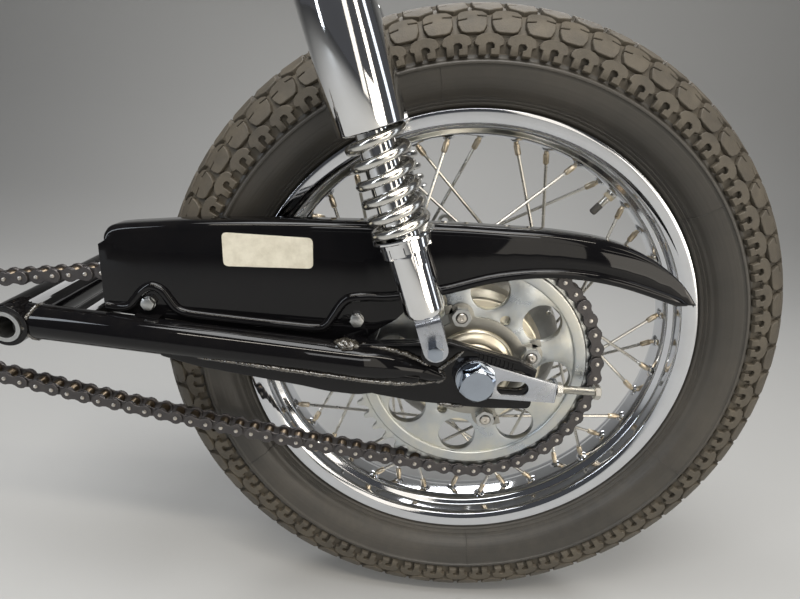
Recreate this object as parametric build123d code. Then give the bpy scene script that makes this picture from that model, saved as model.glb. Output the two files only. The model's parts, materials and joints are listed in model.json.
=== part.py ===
from build123d import *
from math import acos, atan2, ceil, cos, degrees, hypot, pi, radians, sin, sqrt
import os

# Motorcycle rear swingarm with its spoked wheel, chain drive, guard, brake and two shock
# absorbers. Sizes are in mm. Everything is worked out about the wheel centre, with X to the
# rear, Y to the right and Z up, and is moved at the end so that the pivot is the origin.

# Wheel: bead seat radius, then tyre and rim sections as (height above the seat, half width)
SEAT_R = 228.6
TYRE_OUTSIDE = [(15.0, 30.6), (18.5, 36), (27, 46), (39, 54), (53, 59), (65, 60), (76, 58.5),
                (87, 53.5), (95, 46), (101, 35), (105.5, 20), (107.9, 0)]
TYRE_INSIDE = [(0.0, 18), (1.0, 18), (26, 40), (46, 49), (66, 51), (88, 38), (98.5, 16), (99.4, 0)]
BEAD = [(0.0, 28.0), (1.9, 29.6)]
RIM_OUTSIDE = [(15.0, 33.0), (15.0, 30.6), (1.9, 29.6), (0.0, 28.0), (0.0, 17.5), (-6.6, 13.5),
               (-9.4, 8), (-9.6, 0)]
RIM_INSIDE = [(13.2, 35.2), (4.4, 33.8), (-1.4, 31.4), (-2.4, 28.0), (-2.4, 18.5), (-9.0, 14.6),
              (-11.7, 9), (-11.8, 0)]
WELL_R = SEAT_R - 11.8               # inner face of the rim's well

# Spokes: laced crosswise in pairs, left and right in turn
SPOKES, SPOKE_PHASE, LACE = 40, 2.0, 54.0
SPOKE_R, NIPPLE_R, NIPPLE_L, HEAD_SUNK = 1.75, 3.3, 16.0, 0.3
OUTER_RIM_Y, INNER_RIM_Y = 6.0, 1.5  # where a spoke meets the rim, from the middle
VALVE_AT, VALVE_R, VALVE_L = 51.5, 4.2, 29.0

# Hub
FLANGE_R, FLANGE_T, FLANGE_Y = 97.0, 5.0, 35.0
HOLE_R = FLANGE_R - 5.0
HUB_R, DRUM_R, DRUM_WALL, DRUM_Y = 46.0, 90.0, 6.0, 58.0
FACE_R, FLANGE_WEB, CONE_R = 72.0, 11.0, 14.0     # left face, flange's depth, rise of the cones
CONE_LEFT, WAIST_LEFT, WAIST_RIGHT, CONE_RIGHT = -22.0, -11.0, 9.0, 21.0
BEARING_R, BEARING_T = 21.0, 15.0
HUB_LEFT, HUB_RIGHT = -37.0, 25.0
AXLE_R, RUNNING, HUB_FREE = 10.0, 0.05, 0.3

# Chain drive
PITCH, TEETH, FRONT_TEETH = 15.875, 48, 16
ROLLER_R, ROOT_GAP, TOOTH_TIP, TIP_HALF, TOOTH_W = 5.05, 0.3, 4.3, 1.1, 8.0
CHAIN_Y, PHASE, SAG, FRONT_DROP = -81.0, -0.6, 8.0, 17.0
FRONT_AHEAD = 90.0                   # least distance of the front sprocket before the pivot
LINK_END_R, WAIST_H = 7.3, 5.6       # a link plate's round ends, and half its height between them
LINK_CORNERS = (155, 110)            # angles of a round end's corners from the plate's middle line
INNER_LINK, OUTER_LINK, PIN_HALF = (5.4, 7.4), (7.4, 9.6), 10.8
WEB_BORE, WEB_HOLES, WEB_HOLE_R, WEB_HOLE_AT, WEB_HOLE_PHASE = 41.0, 8, 19.0, 80.0, -5.5
RING_R0, RING_R1, RING_UP = 100.0, 112.0, 2.5
STUDS, STUD_AT, STUD_PHASE, STUD_R, SPARE_R = 4, 57.0, 18.3, 4.5, 5.0
LOCK_R, LOCK_T, LOBE_R = 53.0, 2.2, 12.5
NUT_AF, NUT_H, STUD_OUT = 17.0, 8.0, 1.5
CARRIER_R, CARRIER_BORE = 74.0, 18.0
GEAR_BORE, GEAR_BOSS_R, GEAR_BOSS_L = 12.5, 24.0, 7.0

# Swingarm: the pivot from the wheel centre, the arms' round stations, the axle plates
PIVOT_X, PIVOT_Z = -440.0, 21.0
PIVOT_L, PIVOT_R, BUSH_R, BORE_R, BUSH_OUT = 236.0, 20.0, 15.0, 11.0, 2.0
ARM_R, ARM_FRONT_Y, ARM_REAR_Y = 17.0, -99.0, -115.0
KNEE_X, KNEE_Z, TIP_X, TIP_Z, TIP_R = -82.0, 9.4, -34.0, 1.0, 4.5
KEEL_T = 8.0                         # flat bar along each arm's underside
KEEL = [(-300, 3), (-262, -5), (-226, -8.5), (-164, -14.5), (-138, -18), (-112, -18.5), (-84, -14),
        (-58, -5.5), (-52, 2), (-120, 8), (-290, 14)]
CROSS_X, CROSS_R, CROSS_DROP = -384.0, 15.0, 2.0
PLATE_GAP, PLATE_T, LIP_T, LIP_OUT = 7.0, 6.0, 3.0, 5.0
PLATE_TOP = [(-112, 28), (-58, 34), (-29, 37), (39, 22), (57, 14)]
PLATE_LOW = [(57, -29.5), (15, -32), (-12, -32), (-60, -30), (-94, -26), (-126, -19), (-126, 20)]
SLOT_X0, SLOT_X1 = -6.0, 40.0

# Axle and chain adjusters
ADJ_T, ADJ_END_R, ADJ_END_X, ADJ_TOP, ADJ_LOW = 3.0, 19.5, 79.5, 0.8, -19.4
WINDOW_X0, WINDOW_X1, WINDOW_Z, WINDOW_HALF = 28.5, 44.0, -7.0, 7.5
TAB_BACK = 5.0                       # how far the adjuster's end tab passes the axle plate
AXLE_NUT_AF, AXLE_NUT_H, WASHER_R, WASHER_T, THREAD_SUNK = 31.0, 13.0, 19.2, 2.5, 2.0
CROWN_DROP, CROWN_IN = 3.2, 2.5      # how the nut's outer end is turned down
LEFT_SPACER_R, RIGHT_SPACER_R = 15.0, 16.0
BOLT_R, BOLT_Z, LOCK_NUT_AF, LOCK_NUT_H = 3.8, -7.0, 12.0, 5.5
BOLT_HEAD_X, BOLT_HEAD_AF, BOLT_HEAD_H = 116.2, 13.0, 5.4

# Shock absorbers: lower bolt, lean, and lengths along the axis from the lower bolt
SHOCK_X, SHOCK_Z, SHOCK_LEAN, SHOCK_L = -43.6, 39.0, 20.2, 350.0
SHOCK_OUT = 14.0                     # its middle from the axle plate
LUG_T, LUG_R, LUG_FOOT, LUG_Z, STEP_Z = 9.0, 11.3, 15.0, 18.0, 25.0
FORK_GAP, FORK_T, FORK_R, FORK_TOP, FORK_BEND = 0.9, 3.4, 11.3, 28.5, 7.0
COLLAR_R, COLLAR_T, SHOCK_BOLT_R, SHOCK_BOLT_AF, SHOCK_BOLT_H = 13.6, 27.5, 5.0, 13.0, 16.0
BODY_T, BODY_R, SEAT_T, SEAT_PLATE, SEAT_RIM = 29.5, 18.5, 103.2, 3.0, 27.6
CAM_T, CAM_R, CAM_STEPS, CAM_RISE, SLEEVE_R, SLEEVE_T = 89.2, 22.5, 5, 1.6, 15.5, 231.0
WIRE_R, COIL_R, COIL_PITCH, COILS = 4.3, 22.7, 15.0, 7
SHROUD_T, SHROUD_R, SHROUD_TOP, SHROUD_WALL = 194.5, 30.0, 321.0, 1.6
ROD_R, EYE_R, EYE_BORE, EYE_W, NECK_R = 6.0, 16.0, 8.0, 30.0, 10.0
ROD_TOP = SHROUD_TOP - 3.0

# Chain guard, with heights from the arms' upper edge at the pivot: the upper edge, the lower
# edge with its two bolt tabs, the pressed rib, the bolts and the label
GUARD_GAP, GUARD_T, GUARD_DEEP, RIB_H, RIB_W, ROLL = 2.0, 1.2, 26.0, 2.6, 5.0, 1.4
GUARD_TOP = [(-352, 74), (-344, 80), (-310, 85), (-267, 90), (-173, 97), (-47, 103), (7, 104),
             (61, 101), (112, 92), (150, 79), (180, 61), (198, 46)]
GUARD_LOW = [(186, 50), (123, 65), (67, 69), (12, 61), (-41, 42), (-80, 35), (-84, 16), (-94, 2),
             (-105, -3), (-128, -3), (-139, -2), (-152, -5), (-232, -2), (-267, -1), (-285, -2),
             (-300, -3), (-330, -3), (-346, 4), (-356, 24), (-358, 62)]
GUARD_RIB = [(-356, 24), (-340, 20), (-326, 26), (-314, 28), (-302, 24), (-286, 8), (-267, 4),
             (-232, 3), (-154, -2), (-146, 2), (-138, 18), (-130, 26), (-118, 31), (-92, 35),
             (-41, 44), (12, 63), (67, 71), (123, 67), (186, 52)]
GUARD_BOLTS, GUARD_BOLT_R, GUARD_BOLT_AF, GUARD_BOLT_H = [(-315, 8), (-117, 7)], 3.0, 12.0, 4.5
BRACKET_W, BRACKET_T, BRACKET_UP = 24.0, 3.5, 10.0
LABEL = [(-244, 82), (-161, 83), (-160, 54), (-243, 50)]
LABEL_T = 0.4

# Drum brake, right side
BRAKE_GAP, BRAKE_R, BRAKE_T, BACK_R, BACK_BOSS_R = 5.0, 90.0, 4.0, 60.0, 16.0
LEVER_WAY, CAM_BOSS_R, LEVER_EYE_R, LEVER_BORE = (-0.73, 0.69), 11.0, 8.0, 4.0
ANCHOR_R, SHELF = 9.0, (34, 24, 5)   # SHELF is what joins the torque rod's ear to the arm
CAM_AT, CAM_ANGLE, LEVER_L, LEVER_T = 62.0, 60.0, 84.0, 5.0
ANCHOR_AT, ANCHOR_ANGLE, ROD_X, ROD_Z = 70.0, -100.0, -250.0, -22.0
TORQUE_R, TORQUE_EYE_R, TORQUE_EYE_W = 4.5, 11.0, 10.0
TORQUE_BOLT_R, TORQUE_BOLT_AF, TORQUE_BOLT_H, EAR_Y, EAR_T = 5.0, 15.0, 6.0, 80.0, 6.0


def cyl(x, z, y0, y1, r):
    return Pos(x, (y0 + y1) / 2, z) * Rot(90, 0, 0) * Cylinder(r, abs(y1 - y0))


def ring(x, z, y0, y1, r, bore):
    return cyl(x, z, y0, y1, r) - cyl(x, z, min(y0, y1) - 1, max(y0, y1) + 1, bore)


def plate(outline, y0, y1):
    face = Face(Wire.make_polygon([Vector(x, y0, z) for x, z in outline], close=True))
    return extrude(face, amount=abs(y1 - y0), dir=(0, 1 if y1 > y0 else -1, 0))


def slot(x0, x1, z, half, y0, y1):
    middle = plate([(x0, z - half), (x1, z - half), (x1, z + half), (x0, z + half)], y0, y1)
    return cyl(x0, z, y0, y1, half) + cyl(x1, z, y0, y1, half) + middle


def polar(r, angle):
    return r * cos(radians(angle)), r * sin(radians(angle))


def around(x, z, r, sides, turn=0.0):
    """Corners of a regular outline."""
    corners = [polar(r, turn + 360 / sides * i) for i in range(sides)]
    return [(x + u, z + v) for u, v in corners]


def hexagon(x, z, y0, y1, across, turn=0.0):
    return plate(around(x, z, across / sqrt(3), 6, turn), y0, y1)


def turned(section):
    """A ring about the wheel's axis from a section of (radius, y)."""
    face = Face(Wire.make_polygon([Vector(r, y, 0) for r, y in section], close=True))
    return revolve(face, Axis((0, 0, 0), (0, 1, 0)), 360)


def two_sided(outside, inside):
    """Closed section from half sections, seat heights turned into radii."""
    out = [(SEAT_R + h, -y) for h, y in outside] + [(SEAT_R + h, y) for h, y in reversed(outside[:-1])]
    back = [(SEAT_R + h, y) for h, y in inside]
    return out + back + [(SEAT_R + h, -y) for h, y in reversed(inside[:-1])]


def rod(start, end, r, end_r=None):
    """A round bar between two points, tapered where it has an end radius."""
    a, b = Vector(*start), Vector(*end)
    face = [(0, 0), (r, 0), (r if end_r is None else end_r, (b - a).length), (0, (b - a).length)]
    section = Face(Wire.make_polygon([Vector(u, 0, v) for u, v in face], close=True))
    return Plane(origin=a, z_dir=b - a) * revolve(section, Axis.Z, 360)


def prism(start, end, r, sides):
    across = Plane(origin=start, z_dir=end - start)
    return extrude(across * RegularPolygon(r, sides), amount=(end - start).length)


def pair(shape):
    return [shape, mirror(shape, about=Plane.XZ)]


def largest(shape):
    return max(shape.solids(), key=lambda s: s.volume)


def strip(line, half):
    """Outline of a band along an open line."""
    left, right = [], []
    for i, (x, z) in enumerate(line):
        (ax, az), (bx, bz) = line[max(i - 1, 0)], line[min(i + 1, len(line) - 1)]
        n = hypot(bx - ax, bz - az)
        dx, dz = half * (bz - az) / n, -half * (bx - ax) / n
        left.append((x + dx, z + dz))
        right.append((x - dx, z - dz))
    return left + right[::-1]


parts = {}

# Tyre and rim
parts["tyre"] = [turned(two_sided(BEAD + TYRE_OUTSIDE, TYRE_INSIDE))]
parts["rim"] = [turned(two_sided(RIM_OUTSIDE, RIM_INSIDE))]

# Spokes, nipples and valve
HEAD_OUT = FLANGE_Y + SPOKE_R - HEAD_SUNK
HEAD_IN = FLANGE_Y - FLANGE_T - SPOKE_R + HEAD_SUNK
spokes, nipples = [], []
for k in range(SPOKES):
    at = SPOKE_PHASE + 360 / SPOKES * k
    side = -1 if k % 2 else 1
    lean = 1 if (k // 2) % 2 else -1
    rim_y = side * (OUTER_RIM_Y if lean > 0 else INNER_RIM_Y)
    hub_y = side * (HEAD_OUT if lean > 0 else HEAD_IN)
    rx, rz = polar(WELL_R + 0.2, at)
    hx, hz = polar(HOLE_R, at + lean * LACE)
    top, foot = Vector(rx, rim_y, rz), Vector(hx, hub_y, hz)
    neck = top + (foot - top).normalized() * NIPPLE_L
    nipples.append(prism(top, neck, NIPPLE_R, 6))
    spokes.append(prism(neck, foot, SPOKE_R, 6))
parts["spokes"], parts["nipples"] = spokes, nipples
v0, v1 = polar(WELL_R - 0.1, VALVE_AT), polar(WELL_R - VALVE_L, VALVE_AT)
parts["valve"] = [rod((v0[0], 0, v0[1]), (v1[0], 0, v1[1]), VALVE_R)]

# Hub with its brake drum, bearings
inner_drum = DRUM_R - DRUM_WALL
parts["hub"] = [turned([
    (BEARING_R, HUB_LEFT), (FACE_R, HUB_LEFT), (FLANGE_R - 9, -FLANGE_Y), (FLANGE_R, -FLANGE_Y),
    (FLANGE_R, FLANGE_T - FLANGE_Y), (FLANGE_R - FLANGE_WEB, FLANGE_T - FLANGE_Y),
    (HUB_R + CONE_R, CONE_LEFT), (HUB_R, WAIST_LEFT), (HUB_R, WAIST_RIGHT),
    (HUB_R + CONE_R, CONE_RIGHT), (FLANGE_R - FLANGE_WEB, FLANGE_Y - FLANGE_T),
    (FLANGE_R, FLANGE_Y - FLANGE_T), (FLANGE_R, FLANGE_Y), (DRUM_R, FLANGE_Y + 1),
    (DRUM_R, DRUM_Y), (inner_drum, DRUM_Y), (inner_drum, FLANGE_Y - 3), (HUB_R + 12, HUB_RIGHT),
    (BEARING_R, HUB_RIGHT)])]
parts["wheel_bearings"] = [ring(0, 0, y, y + BEARING_T, BEARING_R, AXLE_R + RUNNING)
                           for y in (HUB_LEFT, HUB_RIGHT - BEARING_T)]

# Sprockets
REAR_R = PITCH / 2 / sin(pi / TEETH)
FRONT_R = PITCH / 2 / sin(pi / FRONT_TEETH)
WEB_IN, WEB_OUT = CHAIN_Y + TOOTH_W / 2, CHAIN_Y - TOOTH_W / 2


def toothed(teeth, pitch_r, centre, phase, root):
    """Outline with a round root at each roller and a narrow tip between two."""
    outline = []
    for i in range(teeth):
        gap = radians(phase) + 2 * pi * i / teeth
        tip = gap + pi / teeth
        turns = [polar(root, b) for b in (-90, -54, -18, 18, 54, 90)]
        spots = [(gap, pitch_r - u, v) for u, v in turns]
        spots += [(tip, pitch_r + TOOTH_TIP, -TIP_HALF), (tip, pitch_r + TOOTH_TIP, TIP_HALF)]
        outline += [(centre[0] + r * cos(a) - t * sin(a), centre[1] + r * sin(a) + t * cos(a))
                    for a, r, t in spots]
    return outline


web = plate(toothed(TEETH, REAR_R, (0, 0), PHASE, ROLLER_R + ROOT_GAP), WEB_OUT, WEB_IN)
web = web + ring(0, 0, WEB_OUT, WEB_OUT - RING_UP, RING_R1, RING_R0)
openings = [(0, 0, WEB_BORE)]
openings += [(x, z, WEB_HOLE_R) for x, z in around(0, 0, WEB_HOLE_AT, WEB_HOLES, WEB_HOLE_PHASE)]
openings += [(x, z, SPARE_R) for x, z in around(0, 0, STUD_AT, STUDS, STUD_PHASE + 180 / STUDS)]
for x, z, r in openings:
    web -= cyl(x, z, WEB_OUT - 1, WEB_IN + 1, r)
parts["rear_sprocket"] = [web]

lock = ring(0, 0, WEB_OUT, WEB_OUT - LOCK_T, LOCK_R, WEB_BORE)
nuts = []
nut_y = WEB_OUT - LOCK_T
nut_top = nut_y - NUT_H
for x, z in around(0, 0, STUD_AT, STUDS, STUD_PHASE):
    lock += cyl(x, z, WEB_OUT, nut_y, LOBE_R)
    nut = hexagon(x, z, nut_y, nut_top, NUT_AF)
    nuts.append(nut + cyl(x, z, nut_top, nut_top - STUD_OUT, STUD_R))
lock -= cyl(0, 0, WEB_OUT + 1, nut_y - 1, WEB_BORE)
parts["lock_plate"] = [lock]
parts["sprocket_nuts"] = nuts
parts["sprocket_carrier"] = [turned([
    (CARRIER_BORE, HUB_LEFT), (CARRIER_R, HUB_LEFT), (CARRIER_R, WEB_IN + 16),
    (CARRIER_R - 4, WEB_IN + 2), (CARRIER_R - 6, WEB_IN), (WEB_BORE, WEB_IN), (WEB_BORE, nut_y),
    (WEB_BORE - 2, nut_y - 2.5), (WEB_BORE - 7, nut_y - 4.5), (WEB_BORE - 12, nut_y - 5),
    (WEB_BORE - 13, nut_y - 6.5), (CARRIER_BORE + 4, nut_y - 7.5), (CARRIER_BORE, nut_y - 7.5)])]

# Drive chain: its pins walked link by link round both sprockets, with slack in the lower run
front_z = PIVOT_Z - FRONT_DROP


def pitch_line(reach):
    """The line of the pins round both sprockets, by the way along it, and its length."""
    centres = hypot(reach, front_z)
    line = atan2(front_z, -reach)
    turn = acos((REAR_R - FRONT_R) / centres)
    upper, lower, begin = line - turn, line + turn, radians(PHASE)
    run = centres * sin(turn)
    slack = run + 8 * SAG ** 2 / (3 * run)
    rear_way = (upper - begin) % (2 * pi), (begin - lower) % (2 * pi)
    lengths = [REAR_R * rear_way[0], run, FRONT_R * 2 * turn, slack, REAR_R * rear_way[1]]

    def point(s):
        piece = 0
        s %= sum(lengths)
        while piece < 4 and s > lengths[piece]:
            s -= lengths[piece]
            piece += 1
        if piece in (0, 4):
            return polar(REAR_R, degrees((begin if piece == 0 else lower) + s / REAR_R))
        if piece == 2:
            x, z = polar(FRONT_R, degrees(upper + s / FRONT_R))
            return x - reach, z + front_z
        u = s / lengths[piece]
        a = upper if piece == 1 else lower
        rear = REAR_R * cos(a), REAR_R * sin(a)
        front = FRONT_R * cos(a) - reach, FRONT_R * sin(a) + front_z
        start, stop = (rear, front) if piece == 1 else (front, rear)
        down = 0 if piece == 1 else 4 * SAG * u * (1 - u)
        return tuple((1 - u) * p + u * q + down * d for p, q, d in zip(start, stop, (cos(a), sin(a))))

    return point, sum(lengths)


LINKS = 2 * ceil(pitch_line(FRONT_AHEAD - PIVOT_X)[1] / (2 * PITCH))


def walk(reach):
    """Pin places one pitch apart, and how far the last one passes the first."""
    point, total = pitch_line(reach)
    s, pins = 0.0, []
    for i in range(LINKS):
        x, z = point(s)
        pins.append((x, z))
        low, high = s + 0.9 * PITCH, s + 1.2 * PITCH
        for j in range(40):
            s = (low + high) / 2
            px, pz = point(s)
            low, high = (s, high) if hypot(px - x, pz - z) < PITCH else (low, s)
    return pins, s - total


least, most = LINKS * PITCH / 4, LINKS * PITCH / 2
for i in range(45):
    REACH = (least + most) / 2
    PINS, over = walk(REACH)
    least, most = (REACH, most) if over > 0 else (least, REACH)


def link(a, b):
    """Outline of a link plate: round about its two pins and narrow between them."""
    dx, dz = (b[0] - a[0]) / PITCH, (b[1] - a[1]) / PITCH
    end = [polar(LINK_END_R, corner) for corner in LINK_CORNERS]
    side = end + [(PITCH / 2, WAIST_H)] + [(PITCH - u, v) for u, v in reversed(end)]
    spots = side + [(u, -v) for u, v in reversed(side)]
    return [(a[0] + u * dx - v * dz, a[1] + u * dz + v * dx) for u, v in spots]


links = []
for i, pin in enumerate(PINS):
    near, far = OUTER_LINK if i % 2 else INNER_LINK
    outline = link(pin, PINS[(i + 1) % LINKS])
    links += [plate(outline, CHAIN_Y + side * near, CHAIN_Y + side * far) for side in (-1, 1)]
    roller = around(*pin, ROLLER_R, 8, 22.5)
    links.append(plate(roller, CHAIN_Y - INNER_LINK[0], CHAIN_Y + INNER_LINK[0]))
parts["drive_chain"] = [links[0].fuse(*links[1:])]

nose = min(PINS)
front = (-REACH, front_z)
gear_phase = degrees(atan2(nose[1] - front[1], nose[0] - front[0]))
GEAR_END = WEB_IN + GEAR_BOSS_L
gear = plate(toothed(FRONT_TEETH, FRONT_R, front, gear_phase, ROLLER_R + ROOT_GAP), WEB_OUT, WEB_IN)
gear = gear + cyl(*front, WEB_IN - 1, GEAR_END, GEAR_BOSS_R)
parts["gearbox_sprocket"] = [gear - cyl(*front, WEB_OUT - 1, GEAR_END + 1, GEAR_BORE)]

# Swingarm
PLATE_IN = nut_top - STUD_OUT - PLATE_GAP
PLATE_OUT = PLATE_IN - PLATE_T
SHOCK_Y = PLATE_OUT - SHOCK_OUT
LUG_IN, LUG_OUT = SHOCK_Y + LUG_T / 2, SHOCK_Y - LUG_T / 2
pivot_end = PIVOT_L / 2
bush_end = pivot_end + BUSH_OUT
parts["pivot_tube"] = [ring(PIVOT_X, PIVOT_Z, -pivot_end, pivot_end, PIVOT_R, BUSH_R)]
parts["pivot_bush"] = [ring(PIVOT_X, PIVOT_Z, -bush_end, bush_end, BUSH_R, BORE_R)]


def arm_axis(x):
    """Where the left arm's middle line is at x."""
    share = (x - PIVOT_X) / (KNEE_X - PIVOT_X)
    return ARM_FRONT_Y + share * (ARM_REAR_Y - ARM_FRONT_Y), PIVOT_Z + share * (KNEE_Z - PIVOT_Z)


knee = (KNEE_X, ARM_REAR_Y, KNEE_Z)
tube = rod((PIVOT_X, *arm_axis(PIVOT_X)), knee, ARM_R) + Pos(*knee) * Sphere(ARM_R)
tube = tube + rod(knee, (TIP_X, ARM_REAR_Y, TIP_Z), ARM_R, TIP_R)
keel = Face(Wire.make_polygon([Vector(x, arm_axis(x)[0], z) for x, z in KEEL], close=True))
keel = extrude(keel, amount=KEEL_T / 2, dir=(0, 1, 0), both=True)
axle_plate = plate(PLATE_TOP + PLATE_LOW, PLATE_IN, PLATE_OUT)
lip = PLATE_TOP + [(x, z - LIP_T) for x, z in reversed(PLATE_TOP)]
foot = [(SHOCK_X - LUG_FOOT, LUG_Z), (SHOCK_X + LUG_FOOT, LUG_Z)]
lug = foot + [(SHOCK_X + LUG_R, SHOCK_Z), (SHOCK_X - LUG_R, SHOCK_Z)]
step = foot + [(SHOCK_X + LUG_FOOT - 2, STEP_Z), (SHOCK_X - LUG_FOOT + 2, STEP_Z)]
axle_plate = axle_plate + plate(lip, PLATE_OUT, PLATE_OUT - LIP_OUT) + plate(step, PLATE_OUT, LUG_IN)
axle_plate = axle_plate + plate(lug, LUG_IN, LUG_OUT) + cyl(SHOCK_X, SHOCK_Z, LUG_IN, LUG_OUT, LUG_R)
axle_plate -= cyl(SHOCK_X, SHOCK_Z, LUG_IN + 1, LUG_OUT - 1, SHOCK_BOLT_R)
axle_plate -= slot(SLOT_X0, SLOT_X1, 0, AXLE_R + 0.1, PLATE_IN + 1, PLATE_OUT - 1)
pivot_space = cyl(PIVOT_X, PIVOT_Z, -bush_end, bush_end, PIVOT_R)
parts["arms"] = pair(largest(tube + keel - pivot_space - axle_plate))
parts["axle_plates"] = pair(axle_plate)
cross = cyl(CROSS_X, PIVOT_Z - CROSS_DROP, ARM_FRONT_Y, -ARM_FRONT_Y, CROSS_R)
for side_tube in pair(tube):
    cross -= side_tube
parts["cross_tube"] = [largest(cross)]

# Axle, nut, spacers and chain adjusters
ADJ_OUT = PLATE_OUT - ADJ_T
NUT_IN = ADJ_OUT - WASHER_T
NUT_OUT = NUT_IN - AXLE_NUT_H
shaft = cyl(0, 0, NUT_OUT + THREAD_SUNK, -ADJ_OUT, AXLE_R)
parts["axle"] = [shaft + hexagon(0, 0, -ADJ_OUT, -ADJ_OUT + AXLE_NUT_H, AXLE_NUT_AF)]
corner = AXLE_NUT_AF / sqrt(3)
crown = turned([(0, NUT_IN), (corner + 1, NUT_IN), (corner + 1, NUT_OUT + CROWN_DROP),
                (corner - CROWN_IN, NUT_OUT), (0, NUT_OUT)])
nut = (hexagon(0, 0, NUT_IN, NUT_OUT, AXLE_NUT_AF, 30) & crown) + cyl(0, 0, ADJ_OUT, NUT_IN, WASHER_R)
parts["axle_nut"] = [nut - cyl(0, 0, ADJ_OUT + 1, NUT_OUT + THREAD_SUNK, AXLE_R)]
brake_out = DRUM_Y + BRAKE_GAP + BRAKE_T + 2
parts["axle_spacers"] = [ring(0, 0, PLATE_IN, HUB_LEFT - HUB_FREE, LEFT_SPACER_R, AXLE_R),
                         ring(0, 0, brake_out, -PLATE_IN, RIGHT_SPACER_R, AXLE_R)]
blade = [(0, ADJ_END_R), (12, 16), (ADJ_END_X, ADJ_TOP), (ADJ_END_X, ADJ_LOW), (0, -ADJ_END_R)]
tab = [(ADJ_END_X - ADJ_T, ADJ_TOP), (ADJ_END_X, ADJ_TOP), (ADJ_END_X, ADJ_LOW),
       (ADJ_END_X - ADJ_T, ADJ_LOW)]
adjuster = plate(blade, PLATE_OUT, ADJ_OUT) + cyl(0, 0, PLATE_OUT, ADJ_OUT, ADJ_END_R)
adjuster = adjuster + plate(tab, PLATE_IN + TAB_BACK, ADJ_OUT)
adjuster -= slot(WINDOW_X0, WINDOW_X1, WINDOW_Z, WINDOW_HALF, PLATE_OUT + 1, ADJ_OUT - 1)
adjuster -= cyl(0, 0, PLATE_OUT + 1, ADJ_OUT - 1, AXLE_R)
bolt_y = (PLATE_IN + PLATE_OUT) / 2
tab_bolt = rod((PLATE_TOP[-1][0], bolt_y, BOLT_Z), (BOLT_HEAD_X, bolt_y, BOLT_Z), BOLT_R)
for x, across, height in [(ADJ_END_X, LOCK_NUT_AF, LOCK_NUT_H),
                          (BOLT_HEAD_X, BOLT_HEAD_AF, BOLT_HEAD_H)]:
    face = Plane(origin=(x, bolt_y, BOLT_Z), z_dir=(1, 0, 0)) * RegularPolygon(across / sqrt(3), 6)
    tab_bolt += extrude(face, amount=height)
parts["adjuster_bolts"] = pair(tab_bolt)
parts["chain_adjusters"] = pair(adjuster - tab_bolt)

# Shock absorbers
lean = radians(SHOCK_LEAN)
tilt = Plane(origin=(SHOCK_X, SHOCK_Y, SHOCK_Z), x_dir=(cos(lean), 0, sin(lean)),
             z_dir=(-sin(lean), 0, cos(lean)))


def on_shock(section, arc=360):
    """Turned on the shock absorber's axis from (radius, distance from the lower bolt)."""
    face = Face(Wire.make_polygon([Vector(r, 0, t) for r, t in section], close=True))
    return tilt * revolve(face, Axis.Z, arc)


fork_in = LUG_T / 2 + FORK_GAP / 2
fork_out = fork_in + FORK_T
half_strap = [(fork_out, -FORK_R), (fork_out, FORK_TOP - FORK_BEND),
              (fork_out - 0.3 * FORK_BEND, FORK_TOP - 0.3 * FORK_BEND), (fork_out - FORK_BEND, FORK_TOP)]
half_space = [(fork_in, -FORK_R), (fork_in, FORK_TOP - FORK_T - 1), (fork_in - 1, FORK_TOP - FORK_T)]
strap = half_strap + [(-y, t) for y, t in reversed(half_strap)]
strap += [(-y, t) for y, t in half_space] + list(reversed(half_space))
face = Face(Wire.make_polygon([Vector(0, y, t) for y, t in strap], close=True))
strap = extrude(face, amount=FORK_R, dir=(1, 0, 0), both=True)
side_view = Pos(0, 0, FORK_TOP / 2) * Box(2 * FORK_R, 2 * fork_out, FORK_TOP)
side_view = side_view + Rot(90, 0, 0) * Cylinder(FORK_R, 2 * fork_out)
fork = (strap & side_view) - Rot(90, 0, 0) * Cylinder(SHOCK_BOLT_R, 2 * fork_out + 2)
fork = fork + Pos(0, 0, (COLLAR_T + BODY_T) / 2) * Cylinder(COLLAR_R, BODY_T - COLLAR_T)
parts["shock_clevises"] = pair(tilt * fork)
head_y = SHOCK_Y - fork_out
bolt = cyl(SHOCK_X, SHOCK_Z, SHOCK_Y + fork_out, head_y, SHOCK_BOLT_R)
bolt = bolt + hexagon(SHOCK_X, SHOCK_Z, head_y, head_y - SHOCK_BOLT_H, SHOCK_BOLT_AF, 30)
parts["shock_bolts"] = pair(bolt)
parts["shock_bodies"] = pair(on_shock([
    (0, BODY_T), (BODY_R - 3, BODY_T), (BODY_R, BODY_T + 4), (BODY_R, SEAT_T - 4),
    (SLEEVE_R, SEAT_T - 3), (SLEEVE_R, SLEEVE_T), (0, SLEEVE_T)]))
step_arc = 180 / CAM_STEPS
cam = on_shock([(BODY_R, SEAT_T - 4), (CAM_R, SEAT_T - 4), (CAM_R, SEAT_T), (BODY_R, SEAT_T)])
for i in range(CAM_STEPS):
    low = CAM_T + CAM_RISE * i
    tread = [(BODY_R, low), (CAM_R, low), (CAM_R, SEAT_T - 4), (BODY_R, SEAT_T - 4)]
    face = Face(Wire.make_polygon([Vector(r, 0, t) for r, t in tread], close=True))
    for half in (0, 180):
        cam = cam + tilt * (Rot(0, 0, half + step_arc * i) * revolve(face, Axis.Z, step_arc))
parts["preload_cams"] = pair(cam)
parts["spring_seats"] = pair(on_shock([
    (SLEEVE_R + 0.2, SEAT_T), (SEAT_RIM, SEAT_T), (SEAT_RIM, SEAT_T + SEAT_PLATE),
    (SLEEVE_R + 0.2, SEAT_T + SEAT_PLATE)]))
spring_start = SEAT_T + SEAT_PLATE + WIRE_R * cos(radians(30)) + 0.3
helix = Helix(pitch=COIL_PITCH, height=COIL_PITCH * COILS, radius=COIL_R)
wire = Plane(origin=helix @ 0, z_dir=helix % 0) * RegularPolygon(WIRE_R, 6)
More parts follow.
